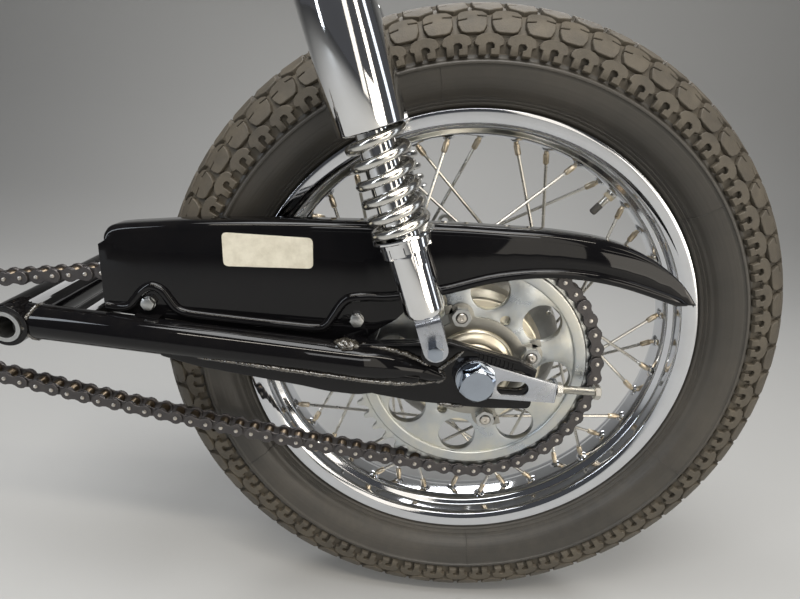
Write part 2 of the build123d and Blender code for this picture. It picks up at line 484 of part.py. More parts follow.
coil = sweep(wire, path=helix, is_frenet=True)
parts["springs"] = pair(tilt * (Pos(0, 0, spring_start) * coil))
shroud_in = SHROUD_R - SHROUD_WALL
parts["shrouds"] = pair(on_shock([
    (shroud_in, SHROUD_T), (SHROUD_R, SHROUD_T), (SHROUD_R, SHROUD_TOP - 10),
    (SHROUD_R - 4, SHROUD_TOP - 2), (NECK_R, SHROUD_TOP), (0, SHROUD_TOP), (0, ROD_TOP),
    (ROD_R + 1, ROD_TOP), (shroud_in, SHROUD_TOP - 12)]))
parts["shock_rods"] = pair(on_shock([(0, SLEEVE_T), (ROD_R, SLEEVE_T), (ROD_R, ROD_TOP), (0, ROD_TOP)]))
eye_x, eye_z = SHOCK_X - SHOCK_L * sin(lean), SHOCK_Z + SHOCK_L * cos(lean)
neck_top = SHOCK_L - 6
eye = on_shock([(0, SHROUD_TOP), (NECK_R, SHROUD_TOP), (NECK_R, neck_top), (0, neck_top)])
eye = eye + cyl(eye_x, eye_z, SHOCK_Y - EYE_W / 2, SHOCK_Y + EYE_W / 2, EYE_R)
parts["shock_eyes"] = pair(eye - cyl(eye_x, eye_z, SHOCK_Y - EYE_W, SHOCK_Y + EYE_W, EYE_BORE))

# Chain guard, its brackets, bolts and label
GUARD_IN = CHAIN_Y - PIN_HALF - GUARD_GAP
GUARD_OUT = GUARD_IN - GUARD_T


def raised(line):
    """Heights over the arm turned into heights over the wheel centre."""
    return [(x, PIVOT_Z + ARM_R + z) for x, z in line]


top_edge = raised(GUARD_TOP)
guard = plate(top_edge + raised(GUARD_LOW), GUARD_IN, GUARD_OUT)
roll = top_edge + [(x, z - ROLL) for x, z in reversed(top_edge)]
guard += plate(roll, GUARD_IN, GUARD_IN + GUARD_DEEP)
guard += plate(strip(raised(GUARD_RIB), RIB_W / 2), GUARD_OUT, GUARD_OUT - RIB_H)
brackets, bolts = [], []
bracket_in = GUARD_IN + BRACKET_T
for x, z in raised(GUARD_BOLTS):
    guard -= cyl(x, z, GUARD_IN + 1, GUARD_OUT - 1, GUARD_BOLT_R)
    arm_y, arm_z = arm_axis(x)
    left, right, head = x - BRACKET_W / 2, x + BRACKET_W / 2, z + BRACKET_UP
    tab = plate([(left, arm_z), (right, arm_z), (right, head), (left, head)], bracket_in, GUARD_IN)
    shelf_z = arm_z + ARM_R + 1
    shelf = [(left, shelf_z - 4), (right, shelf_z - 4), (right, shelf_z), (left, shelf_z)]
    tab = tab + plate(shelf, bracket_in, arm_y)
    tab = tab - tube - axle_plate - cyl(x, z, bracket_in + 1, GUARD_OUT, GUARD_BOLT_R)
    brackets.append(max(tab.solids(), key=lambda s: s.bounding_box().max.Z))
    bolt = cyl(x, z, bracket_in, GUARD_OUT, GUARD_BOLT_R)
    bolts.append(bolt + hexagon(x, z, GUARD_OUT, GUARD_OUT - GUARD_BOLT_H, GUARD_BOLT_AF))
parts["chain_guard"] = [guard]
parts["guard_brackets"] = brackets
parts["guard_bolts"] = bolts
parts["label"] = [plate(raised(LABEL), GUARD_OUT, GUARD_OUT - LABEL_T)]

# Drum brake: fixed plate, lever and torque rod
brake_in = DRUM_Y + BRAKE_GAP
boss_out = brake_out + 3
backing = turned([
    (AXLE_R, HUB_RIGHT + HUB_FREE), (BACK_BOSS_R, HUB_RIGHT + HUB_FREE),
    (BACK_BOSS_R, brake_in - 3), (BACK_R, brake_in), (BRAKE_R, brake_in),
    (BRAKE_R, brake_in + BRAKE_T), (BACK_R, brake_out), (AXLE_R, brake_out)])
cx, cz = polar(CAM_AT, CAM_ANGLE)
lx, lz = cx + LEVER_WAY[0] * LEVER_L, cz + LEVER_WAY[1] * LEVER_L
lever_in = brake_out + 5
lever_out = lever_in + LEVER_T
arm = [(cx - 8, cz - 2), (cx + 7, cz + 6), (lx + 5, lz + 5), (lx - 5, lz - 5)]
lever = plate(arm, lever_in, lever_out) + cyl(cx, cz, brake_in + 1, lever_out + 2, CAM_BOSS_R)
lever = lever + cyl(lx, lz, lever_in, lever_out, LEVER_EYE_R)
lever -= cyl(lx, lz, lever_in - 1, lever_out + 1, LEVER_BORE)
parts["brake_lever"] = [lever - backing]
ax, az = polar(ANCHOR_AT, ANCHOR_ANGLE)
backing = backing + cyl(ax, az, brake_in + 1, boss_out, ANCHOR_R)
parts["brake_plate"] = [backing - cyl(ax, az, brake_in - 1, boss_out + 1, TORQUE_BOLT_R)]
ear_in = EAR_Y - EAR_T
rod_ends = [(ax, az, boss_out), (ROD_X, ROD_Z, EAR_Y)]
torque = rod(*[(x, y + TORQUE_EYE_W / 2, z) for x, z, y in rod_ends], TORQUE_R)
for x, z, y in rod_ends:
    torque += cyl(x, z, y, y + TORQUE_EYE_W, TORQUE_EYE_R)
for x, z, y in rod_ends:
    torque -= cyl(x, z, y - 1, y + TORQUE_EYE_W + 1, TORQUE_BOLT_R)
parts["torque_rod"] = [torque]
bolts = []
for (x, z, y), foot in zip(rod_ends, (brake_in, ear_in)):
    out = y + TORQUE_EYE_W
    bolt = cyl(x, z, foot, out, TORQUE_BOLT_R)
    bolts.append(bolt + hexagon(x, z, out, out + TORQUE_BOLT_H, TORQUE_BOLT_AF))
bolts[1] += hexagon(ROD_X, ROD_Z, ear_in - TORQUE_BOLT_H, ear_in, TORQUE_BOLT_AF)
parts["torque_bolts"] = bolts
ear = [(ROD_X - 16, 16), (ROD_X + 18, 14), (ROD_X + 11, ROD_Z), (ROD_X - 11, ROD_Z)]
ear = plate(ear, ear_in, EAR_Y) + cyl(ROD_X, ROD_Z, ear_in, EAR_Y, TORQUE_EYE_R)
ear = ear + Pos(ROD_X + 1, EAR_Y + 6, 8) * Box(*SHELF)
ear = ear - cyl(ROD_X, ROD_Z, ear_in - 1, EAR_Y + 1, TORQUE_BOLT_R) - mirror(tube, about=Plane.XZ)
parts["torque_bracket"] = [min(ear.solids(), key=lambda piece: piece.bounding_box().min.Z)]

os.makedirs("parts", exist_ok=True)
for name, shapes in parts.items():
    solids = [s for shape in shapes for s in shape.solids()]
    body = solids[0] if len(solids) == 1 else Compound(children=solids)
    export_step(Pos(-PIVOT_X, 0, -PIVOT_Z) * body, "parts/" + name + ".step")
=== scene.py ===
# Motorcycle rear wheel and swingarm: finished pieces, materials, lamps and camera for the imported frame
import json
from math import acos, atan2, cos, degrees, hypot, pi, radians, sin, sqrt

import bmesh
import bpy
from mathutils import Matrix, Vector, noise


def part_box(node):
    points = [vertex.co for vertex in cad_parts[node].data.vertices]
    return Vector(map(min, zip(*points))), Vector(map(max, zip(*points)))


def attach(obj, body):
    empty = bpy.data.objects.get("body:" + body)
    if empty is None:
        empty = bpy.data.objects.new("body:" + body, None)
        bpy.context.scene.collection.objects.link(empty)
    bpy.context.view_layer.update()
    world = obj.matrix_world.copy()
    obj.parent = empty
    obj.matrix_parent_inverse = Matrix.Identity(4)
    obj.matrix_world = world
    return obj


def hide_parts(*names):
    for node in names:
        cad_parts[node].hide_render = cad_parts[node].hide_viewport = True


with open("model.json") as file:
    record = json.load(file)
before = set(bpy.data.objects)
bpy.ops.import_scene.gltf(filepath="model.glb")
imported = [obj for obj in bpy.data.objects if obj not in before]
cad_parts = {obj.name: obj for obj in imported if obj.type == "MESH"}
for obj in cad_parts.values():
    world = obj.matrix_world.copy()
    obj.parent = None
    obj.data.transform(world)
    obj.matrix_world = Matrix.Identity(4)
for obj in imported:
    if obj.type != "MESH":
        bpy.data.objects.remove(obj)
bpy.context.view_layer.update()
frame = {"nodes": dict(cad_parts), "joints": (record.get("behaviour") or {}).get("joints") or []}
noise.seed_set(7)          # so that the weld beads wander alike in each run

# Shapes are drawn in millimetres about the wheel's centre, as X to the rear, Y to the right, Z up,
# and IN_FRAME takes them to the frame's metres.
WHEEL = Vector(frame["joints"][0]["pos_m"])
IN_FRAME = Matrix.Translation(WHEEL) @ Matrix.Scale(0.001, 4)
SIDES = (-1, 1)

# A shape turned about the Y axis is laid along X by these: towards the wheel's centre, or to the rear
INWARD, REARWARD = Matrix.Rotation(radians(90), 4, "Z"), Matrix.Rotation(radians(-90), 4, "Z")

# Tyre: (height above the bead seat, half width) over its crown and along a seam of its wall
SEAT_R = 228.6
TYRE_CROWN = [(53, 59), (65, 60), (76, 58.2), (86, 53.2), (93.8, 45.6), (99.6, 35), (104.8, 20), (107.9, 0),
              (105.5, -20)]
WALL_SEAM = [(18.5, 36), (27, 46), (39, 54), (53, 59)]
SEAMS_AT = (38, 102, 161, 214, 276, 333)
TREAD_PERIODS, TREAD_PHASE, TREAD_FROM_R, CROWN_RUN = 66, 66.2, 288, 82.4
BLOCK_H, BLOCK_SPAN, BLOCK_CUT = 4.4, 28.6, 7

# Rim, spokes and valve
SPOKES, SPOKE_PHASE, LACE = 40, 2.0, 54.0
SPOKE_R, NIPPLE_R, NIPPLE_L = 1.75, 3.1, 16.0
WELL_R = SEAT_R - 11.8
OUTER_RIM_Y, INNER_RIM_Y = 6.0, 1.5
FLANGE_R, FLANGE_T, FLANGE_Y = 97.0, 5.0, 35.0
HOLE_R = FLANGE_R - 5.0
VALVE_AT = 51.5

# Chain and sprockets
PITCH, TEETH, FRONT_TEETH, LINKS = 15.875, 48, 16, 100
REAR_PITCH_R, FRONT_PITCH_R = PITCH / 2 / sin(pi / TEETH), PITCH / 2 / sin(pi / FRONT_TEETH)
CHAIN_Y, CHAIN_PHASE, SAG = -81.0, -0.6, 8.0
TOOTH_W, TOOTH_TIP, RING_UP = 8.0, 4.3, 2.5
PLATE_END_R, PLATE_WAIST, PLATE_T = 7.2, 4.6, 1.7
INNER_PLATE_Y, OUTER_PLATE_Y, PIN_END_Y, ROLLER_R = 6.2, 8.4, 10.6, 5.05
WEB_HOLES, WEB_HOLES_R, WEB_HOLE_AT, WEB_HOLE_R = 8, 80, -5.5, 19
STUDS, STUDS_R, STUD_AT, SMALL_HOLE_AT, STUD_LOBE_R = 4, 57.0, 18.3, 63.3, 12.5
COLLAR_R, NUTS_FOOT_Y = 41, -87.2

# Axle plates' two faces, the adjusters' outer face, their end and the radius of their folds
PLATE_IN_Y, PLATE_OUT_Y = -103.7, -109.7
ADJUSTER_Y, ADJUSTER_END, FOLD_R = -112.7, 79.5, 2.9

# Shock absorbers, and how much longer the clevis's outer leg is
SHOCK_FOOT, SHOCK_LEAN = Vector((-43.6, -123.7, 39.0)), radians(20.2)
SPRING_R, WIRE_R, SPRING_PITCH, SPRING_START, SPRING_TURNS = 22.7, 4.3, 15.0, 110.6, 7.2
EYE_UP, LEG_DROP = 350, 3.4
ON_SHOCK = Matrix(((cos(SHOCK_LEAN), -sin(SHOCK_LEAN), 0, SHOCK_FOOT.x), (0, 0, -1, SHOCK_FOOT.y),
                   (sin(SHOCK_LEAN), cos(SHOCK_LEAN), 0, SHOCK_FOOT.z), (0, 0, 0, 1)))


# Shape helpers

def swung(angle):
    """Turns a shape about the Y axis, from X towards Z."""
    return Matrix.Rotation(radians(-angle), 4, "Y")


def moved(x, y, z):
    return Matrix.Translation((x, y, z))


def held(value, low=0.0):
    """The value, kept between a limit and 1."""
    return max(low, min(1.0, value))


def polar(radius, angle):
    return radius * cos(radians(angle)), radius * sin(radians(angle))


def arc(radius, start, stop, step, x=0.0, z=0.0):
    """Points round (x, z) from one angle to another, in whole degrees."""
    return [(x + u, z + v) for u, v in (polar(radius, a) for a in range(start, stop + 1, step))]


def circle(radius, steps, x=0.0, z=0.0):
    return [(x + u, z + v) for u, v in (polar(radius, 360 * i / steps) for i in range(steps))]


def mirrored(line):
    """A half section's way back: its points in reverse, on the other side of the middle."""
    return [(r, -y) for r, y in reversed(line)]


def rounded(points, radius, steps=4, closed=True):
    """The line with each corner replaced by a small curve."""
    line, last = [], len(points) - 1
    for i, corner in enumerate(Vector(p) for p in points):
        if not closed and i in (0, last):
            line.append(corner)
            continue
        before, after = Vector(points[i - 1]) - corner, Vector(points[(i + 1) % (last + 1)]) - corner
        reach = min(radius, 0.45 * before.length, 0.45 * after.length)
        start, stop = corner + before.normalized() * reach, corner + after.normalized() * reach
        for j in range(steps + 1):
            u = j / steps
            line.append(start.lerp(corner, u).lerp(corner.lerp(stop, u), u))
    return line


def flowing(points, steps):
    """A smooth curve through the points."""
    spots, line = [Vector(p) for p in (points[0], *points, points[-1])], []
    for a, b, c, d in zip(spots, spots[1:], spots[2:], spots[3:]):
        for j in range(steps):
            u = j / steps
            line.append(b + 0.5 * u * (c - a + u * (2 * a - 5 * b + 4 * c - d + u * (3 * b - a - 3 * c + d))))
    return line + [spots[-1]]


def vertices(geometry):
    return [v for v in geometry if isinstance(v, bmesh.types.BMVert)]


def strung(bm, line, closed=True):
    """New vertices along a line, and the edges between them."""
    points = [bm.verts.new(p) for p in line]
    return points, [bm.edges.new(ends) for ends in zip(points, points[1:] + (points[:1] if closed else []))]


def faced(bm):
    """The shape with its faces turned outward."""
    bmesh.ops.recalc_face_normals(bm, faces=bm.faces)
    return bm


def merged(bm):
    """The shape with its doubled vertices made one, and its faces turned outward."""
    bmesh.ops.remove_doubles(bm, verts=bm.verts, dist=0.002)
    return faced(bm)


def capped(bm):
    """The shape with its open ends filled."""
    bmesh.ops.holes_fill(bm, edges=[e for e in bm.edges if e.is_boundary], sides=0)
    return faced(bm)


def thickened(sheet, thickness):
    bmesh.ops.solidify(sheet, geom=list(sheet.faces), thickness=thickness)
    return faced(sheet)


def lathed(section, steps, closed=True):
    """Turned about the Y axis from points of (radius, y)."""
    bm = bmesh.new()
    points, line = strung(bm, [(r, y, 0) for r, y in section], closed)
    bmesh.ops.spin(bm, geom=points + line, cent=(0, 0, 0), axis=(0, 1, 0), angle=2 * pi, steps=steps,
                   use_merge=True)
    return merged(bm)


def part_lathed(section, angle, steps):
    """Turned part of the way about the Y axis, from a closed section."""
    bm = bmesh.new()
    face = bm.faces.new([bm.verts.new((r, y, 0)) for r, y in section])
    bmesh.ops.spin(bm, geom=[face], cent=(0, 0, 0), axis=(0, 1, 0), angle=radians(angle), steps=steps)
    return bm


def plate(outline, y0, y1, ease, segments=2, holes=()):
    """A flat piece between two depths, from points of (x, z), with its holes, and its edges eased."""
    bm = bmesh.new()
    for loop in (outline, *holes):
        strung(bm, [(x, y0, z) for x, z in loop])
    bmesh.ops.triangle_fill(bm, edges=bm.edges, use_beauty=True)
    made = bmesh.ops.extrude_face_region(bm, geom=list(bm.faces))["geom"]
    bmesh.ops.translate(bm, vec=(0, y1 - y0, 0), verts=vertices(made))
    faced(bm)
    rims = [e for e in bm.edges if len(e.link_faces) == 2 and e.calc_face_angle() > 1.2 and
            abs(e.verts[0].co.y - e.verts[1].co.y) < 1e-6]
    bmesh.ops.bevel(bm, geom=rims, offset=ease, segments=segments, profile=0.5, affect="EDGES", material=-1)
    return bm


def swept(path, radii, sides):
    """A round bar along a path, of one radius or of one at each point."""
    bm, path = bmesh.new(), [Vector(p) for p in path]
    radii = radii if isinstance(radii, list) else [radii] * len(path)
    stands, side = [], None
    for i, (point, radius) in enumerate(zip(path, radii)):
        run = (path[min(i + 1, len(path) - 1)] - path[max(i - 1, 0)]).normalized()
        if side is None:
            side = run.cross(Vector((0, 1, 0)) if abs(run.y) < 0.9 else Vector((1, 0, 0)))
        side = (side - run * side.dot(run)).normalized()
        turn = Matrix((side, run.cross(side), run)).transposed().to_4x4()
        stands.append(Matrix.Translation(point) @ turn @ Matrix.Diagonal((radius, radius, radius, 1)))
    ring = bmesh.ops.create_circle(bm, segments=sides, radius=1, cap_ends=True, matrix=stands[0])["verts"]
    edges = [e for e in bm.edges if all(v in ring for v in e.verts)]
    for before, after in zip(stands, stands[1:]):
        made = bmesh.ops.extrude_edge_only(bm, edges=edges)["geom"]
        edges = [e for e in made if isinstance(e, bmesh.types.BMEdge)]
        bmesh.ops.transform(bm, matrix=after @ before.inverted(), verts=vertices(made))
    bmesh.ops.contextual_create(bm, geom=edges)
    return faced(bm)


def bridged(rows, closed=True, loop=False):
    """A skin through rows of points, its rows closed or open, its last row joined to the first in a loop."""
    bm = bmesh.new()
    lines = [strung(bm, row, closed)[1] for row in rows]
    for before, after in zip(lines, lines[1:] + (lines[:1] if loop else [])):
        bmesh.ops.bridge_loops(bm, edges=before + after)
    return merged(bm)


def placed(bm, matrix):
    bmesh.ops.transform(bm, matrix=matrix, verts=bm.verts)
    return bm


def as_mesh(name, bm):
    mesh = bpy.data.meshes.new(name)
    bm.to_mesh(mesh)
    bm.free()
    return mesh


def joined(shapes, finish_numbers=None):
    """One mesh from several, each with its own finish number."""
    whole = bmesh.new()
    for i, shape in enumerate(shapes):
        if finish_numbers:
            for face in shape.faces:
                face.material_index = finish_numbers[i]
        mesh = as_mesh("joined", shape)
        whole.from_mesh(mesh)
        bpy.data.meshes.remove(mesh)
    return whole


def repeated(shape, places):
    """One mesh that holds a copy of the shape at each place."""
    whole, single = bmesh.new(), as_mesh("single", shape)
    for place in places:
        copy = single.copy()
        copy.transform(place)
        whole.from_mesh(copy)
        bpy.data.meshes.remove(copy)
    bpy.data.meshes.remove(single)
    return whole


def both_sides(bm):
    """The shape and its mirror image on the wheel's other side."""
    other = bm.copy()
    bmesh.ops.scale(other, vec=(1, -1, 1), verts=other.verts)
    bmesh.ops.reverse_faces(other, faces=other.faces)
    return joined([bm, other])


def hex_reach(flat, share):
    """How far a hexagon reaches from its middle, at a share of the whole turn."""
    return flat / cos(2 * pi * share % (pi / 3) - pi / 6)


def hexagon(across_flats, y0, y1, turn=0.0, steps=6, corner=0.55):
    """A hexagon head about the Y axis, its outer corners turned off on a cone as on a real bolt."""
    flat, out, count = across_flats / 2, 1 if y1 > y0 else -1, 6 * steps
    foot, shoulder, face = [], [], []
    for i in range(count):
        reach = hex_reach(flat, i / count)
        drop = corner * max(0.0, reach - 0.95 * flat)
        x, z = polar(1, 360 * i / count + turn)
        foot.append((x * reach, y0, z * reach))
        shoulder.append((x * reach, y1 - out * drop, z * reach))
        face.append((x * 0.95 * flat, y1, z * 0.95 * flat))
    return capped(bridged([foot, shoulder, face]))


def six_sided_nut(across_flats, y0, y1):
    """A nut about the Y axis with a turned-down mouth round its stud, open in the middle."""
    flat, count, rows = across_flats / 2, 48, []
    for share, y in ((1.0, y0), (1.0, y1 + 0.9), (0.97, y1), (0.66, y1), (0.60, y1 + 0.7), (0.58, y0)):
        row = []
        for i in range(count):
            reach = hex_reach(flat, i / count)
            reach = share * (reach if share > 0.99 else flat if share < 0.9 else min(reach, flat * 1.08))
            x, z = polar(reach, 360 * i / count)
            row.append((x, y, z))
        rows.append(row)
    return bridged(rows)


def in_scene(name, data):
    made = bpy.data.objects.new(name, data)
    bpy.context.scene.collection.objects.link(made)
    return made


def piece(name, bm, body, finishes, replaces=(), crease=32):
    """A finished piece in the frame, from a shape in millimetres about the wheel's centre."""
    mesh = as_mesh(name, placed(bm, IN_FRAME))
    for each in finishes:
        mesh.materials.append(each)
    mesh.shade_smooth()
    mesh.set_sharp_from_angle(angle=radians(crease))
    made = in_scene(name, mesh)
    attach(made, body)
    if replaces:
        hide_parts(*replaces)
    return made


def pair(name, bm, finishes, replaces=(), crease=32):
    """A piece of the swingarm that stands on both sides of the wheel, from its left shape."""
    piece(name, both_sides(bm), "swingarm", finishes, replaces, crease)


# Finishes

def add(tree, kind, inputs=None, **settings):
    """A shader node with its settings, its inputs given as values or as other nodes' outputs."""
    made = tree.nodes.new("ShaderNode" + kind)
    for name, value in settings.items():
        setattr(made, name, value)
    for socket, value in (inputs or {}).items():
        if isinstance(value, bpy.types.NodeSocket):
            tree.links.new(value, made.inputs[socket])
        else:
            made.inputs[socket].default_value = value
    return made


def maths(tree, operation, first, second):
    return add(tree, "Math", {0: first, 1: second}, operation=operation).outputs[0]


def mapped(tree, value, low, high, to_low=0.0, to_high=1.0):
    """The value's place between two limits, taken to two others."""
    return add(tree, "MapRange", {"Value": value, "From Min": low, "From Max": high, "To Min": to_low,
                                  "To Max": to_high}).outputs[0]


def mixed(tree, share, first, second):
    return add(tree, "Mix", {"Factor": share, 6: first, 7: second}, data_type="RGBA").outputs[2]


def cloud(tree, scale, detail, roughness=0.5):
    """Noise over the piece, as a value."""
    here = add(tree, "TexCoord").outputs["Object"]
    return add(tree, "TexNoise", {"Vector": here, "Scale": scale, "Detail": detail,
                                  "Roughness": roughness}).outputs["Fac"]


def bumped(tree, height, strength, distance):
    return add(tree, "Bump", {"Height": height, "Strength": strength, "Distance": distance}).outputs[0]


def new_group(name, inputs, output, kind):
    """An empty shader group with its sockets: its tree, what it is given, and where its output goes."""
    tree = bpy.data.node_groups.new(name, "ShaderNodeTree")
    for label, value in inputs.items():
        socket = tree.interface.new_socket(name=label, in_out="INPUT", socket_type="NodeSocketFloat")
        socket.default_value = value
    tree.interface.new_socket(name=output, in_out="OUTPUT", socket_type=kind)
    return tree, tree.nodes.new("NodeGroupInput").outputs, tree.nodes.new("NodeGroupOutput").inputs[output]


def patch_group():
    """Soft patches, as a mask."""
    tree, given, out = new_group("patches", {"Scale": 20.0, "Spread": 0.2}, "Mask", "NodeSocketFloat")
    limits = [maths(tree, way, 0.5, given["Spread"]) for way in ("SUBTRACT", "ADD")]
    tree.links.new(mapped(tree, cloud(tree, given["Scale"], 7.0, 0.62), *limits), out)
    return tree


def grain_group():
    """Fine uneven skin, as a normal."""
    tree, given, out = new_group("grain", {"Scale": 400.0, "Height": 0.1}, "Normal", "NodeSocketVector")
    tree.links.new(bumped(tree, cloud(tree, given["Scale"], 4.0), given["Height"], 0.001), out)
    return tree


def turned_group():
    """Fine rings left by a lathe or a polishing wheel round the axle, as a normal."""
    tree, given, out = new_group("turned", {"Rings": 900.0, "Height": 0.1}, "Normal", "NodeSocketVector")
    here = add(tree, "TexCoord").outputs["Object"]
    from_axle = add(tree, "VectorMath", {0: here, 1: WHEEL}, operation="SUBTRACT").outputs[0]
    flat = add(tree, "VectorMath", {0: from_axle, 1: (1, 0, 1)}, operation="MULTIPLY").outputs[0]
    radius = add(tree, "VectorMath", {0: flat}, operation="LENGTH").outputs["Value"]
    rings = add(tree, "TexNoise", {"W": radius, "Scale": given["Rings"], "Detail": 3.0},
                noise_dimensions="1D")
    tree.links.new(bumped(tree, rings.outputs["Fac"], given["Height"], 0.0005), out)
    return tree


def dust_group():
    """Dust that settles on what faces up, as a mask."""
    tree, given, out = new_group("dust", {"Amount": 0.3, "Scale": 60.0}, "Mask", "NodeSocketFloat")
    facing = add(tree, "SeparateXYZ", {0: add(tree, "NewGeometry").outputs["Normal"]}).outputs["Z"]
    upward = mapped(tree, facing, -0.2, 0.9)
    thick = mapped(tree, cloud(tree, given["Scale"], 8.0, 0.7), 0.42, 0.72)
    settled = maths(tree, "MULTIPLY", upward, thick)
    tree.links.new(maths(tree, "MULTIPLY", settled, given["Amount"]), out)
    return tree


PATCHES, GRAIN, TURNED, DUST = patch_group(), grain_group(), turned_group(), dust_group()
DUST_COLOUR, DUST_SCALE, DUST_ROUGHNESS = (0.19, 0.16, 0.12, 1), 70.0, 0.8


def grouped(tree, group, **inputs):
    """The output of a shared group that is put in a material's tree."""
    return add(tree, "Group", inputs, node_tree=group).outputs[0]


def finish(name, colour, other, rough, patches, grain=None, rings=None, dust=0.0, **constants):
    """Two colours and two roughnesses in patches, with a fine skin or turned rings, and settled dust."""
    made = bpy.data.materials.new(name)
    made.use_nodes = True
    tree = made.node_tree
    shader = tree.nodes["Principled BSDF"]
    for socket, value in constants.items():
        shader.inputs[socket.replace("_", " ")].default_value = value
    mask = grouped(tree, PATCHES, Scale=patches[0], Spread=patches[1])
    base = mixed(tree, mask, (*colour, 1), (*other, 1))
    if dust:
        settled = grouped(tree, DUST, Amount=dust, Scale=DUST_SCALE)
        base = mixed(tree, settled, base, DUST_COLOUR)
        gloss = mapped(tree, settled, 0, 1, rough[0], DUST_ROUGHNESS)
    else:
        gloss = mapped(tree, mask, 0, 1, *rough)
    if rings:
        skin = grouped(tree, TURNED, Rings=rings[0], Height=rings[1])
    else:
        skin = grouped(tree, GRAIN, Scale=grain[0], Height=grain[1])
    tree.links.new(base, shader.inputs["Base Color"])
    tree.links.new(gloss, shader.inputs["Roughness"])
    tree.links.new(skin, shader.inputs["Normal"])
    return made


def metal(*looks, **more):
    return finish(*looks, Metallic=1.0, **more)


# Each finish: two colours, two roughnesses, (scale, spread) of its patches and (scale, height) of its skin
RUBBER = finish("tyre rubber", (0.036, 0.034, 0.030), (0.066, 0.059, 0.049), (0.42, 0.60), (9, 0.2),
                rings=(420, 0.55), dust=0.16)
TREAD = finish("tread rubber", (0.058, 0.050, 0.038), (0.100, 0.084, 0.060), (0.6, 0.8), (30, 0.2),
               (700, 0.35), dust=0.35)
CHROME = metal("chrome plate", (0.86, 0.86, 0.87), (0.78, 0.78, 0.77), (0.035, 0.09), (40, 0.3), (1500, 0.01))
SATIN = metal("satin chrome plate", (0.74, 0.73, 0.70), (0.66, 0.64, 0.59), (0.16, 0.24), (40, 0.3),
              (1200, 0.03))
# Painted reflection: this chrome is darkened and tinted blue to stand in for the dark bluish reflection on
# the axle nut's and shock bolts' faces
NUT_CHROME_PAINTED_REFLECTION = metal("dimmed chrome plate", (0.42, 0.47, 0.54), (0.34, 0.38, 0.44), (0.06, 0.12), (60, 0.3),
                   (1500, 0.01))
RIM_CHROME = metal("rim chrome plate", (0.70, 0.72, 0.76), (0.63, 0.64, 0.66), (0.035, 0.09), (40, 0.3),
                   (1500, 0.01))
ENAMEL = finish("black enamel", (0.0030, 0.0030, 0.0038), (0.006, 0.0056, 0.006), (0.08, 0.17), (14, 0.3),
                (260, 0.02), dust=0.02, Specular_IOR_Level=0.0, Coat_Weight=1.0, Coat_Roughness=0.03,
                Coat_IOR=1.38)
# Painted highlight: the lighter brown patches in this black enamel stand in for the bright glints that lamps
# raise on the rough weld beads
WELD_WITH_PAINTED_GLINTS = finish("enamelled weld with painted glints", (0.012, 0.011, 0.009), (0.085, 0.074, 0.056), (0.10, 0.20), (240, 0.15),
              (620, 0.6), Coat_Weight=1.0, Coat_Roughness=0.05, Coat_IOR=1.7)
ZINC = metal("zinc plated steel", (0.60, 0.61, 0.61), (0.46, 0.46, 0.44), (0.24, 0.40), (60, 0.25),
             (900, 0.06))
BRIGHT_ZINC = metal("bright zinc plate", (0.58, 0.61, 0.67), (0.48, 0.49, 0.51), (0.18, 0.32), (60, 0.25),
                    (900, 0.04))
DULL_ZINC = metal("dulled zinc plate", (0.40, 0.39, 0.35), (0.30, 0.29, 0.26), (0.34, 0.50), (60, 0.25),
                  rings=(2200, 0.12))
GOLD = metal("yellow passivated steel", (0.64, 0.52, 0.33), (0.52, 0.47, 0.38), (0.26, 0.42), (80, 0.3),
             (900, 0.06))
TURNED_ZINC = metal("turned zinc plate", (0.47, 0.51, 0.55), (0.66, 0.65, 0.58), (0.24, 0.44), (26, 0.2),
                    rings=(2600, 0.16))
DOME = metal("gold passivated dome", (0.84, 0.77, 0.62), (0.76, 0.70, 0.56), (0.30, 0.42), (50, 0.25),
             rings=(2400, 0.08))
ALLOY = metal("cast alloy", (0.50, 0.50, 0.49), (0.38, 0.37, 0.35), (0.36, 0.55), (35, 0.25), (420, 0.25),
              dust=0.25)
SPOKE_STEEL = metal("spoke steel", (0.68, 0.66, 0.61), (0.50, 0.48, 0.43), (0.22, 0.36), (120, 0.3),
                    (900, 0.04))
CHAIN_PLATE = finish("oiled chain plate", (0.068, 0.065, 0.068), (0.112, 0.103, 0.100), (0.30, 0.52),
                     (90, 0.25), (800, 0.12), Metallic=0.75)
ROLLER = metal("worn roller steel", (0.20, 0.15, 0.10), (0.34, 0.27, 0.19), (0.28, 0.45), (150, 0.25),
               (900, 0.08))
BRASS = metal("tarnished brass", (0.52, 0.41, 0.26), (0.66, 0.60, 0.50), (0.24, 0.40), (130, 0.25),
              (900, 0.05))
PIN = metal("peened pin", (0.74, 0.70, 0.64), (0.56, 0.52, 0.46), (0.24, 0.38), (200, 0.3), (900, 0.08))
LABEL_FILM = finish("worn label film", (0.74, 0.70, 0.58), (0.60, 0.56, 0.45), (0.42, 0.62), (110, 0.16),
                    (600, 0.05))
VALVE_RUBBER = finish("valve rubber", (0.050, 0.048, 0.044), (0.085, 0.080, 0.070), (0.5, 0.65), (60, 0.2),
                      (700, 0.2))


# Tyre

CROWN = flowing([(SEAT_R + h, y) for h, y in TYRE_CROWN], 10)
CROWN = [p for p in CROWN if p.y > -0.01][10:]

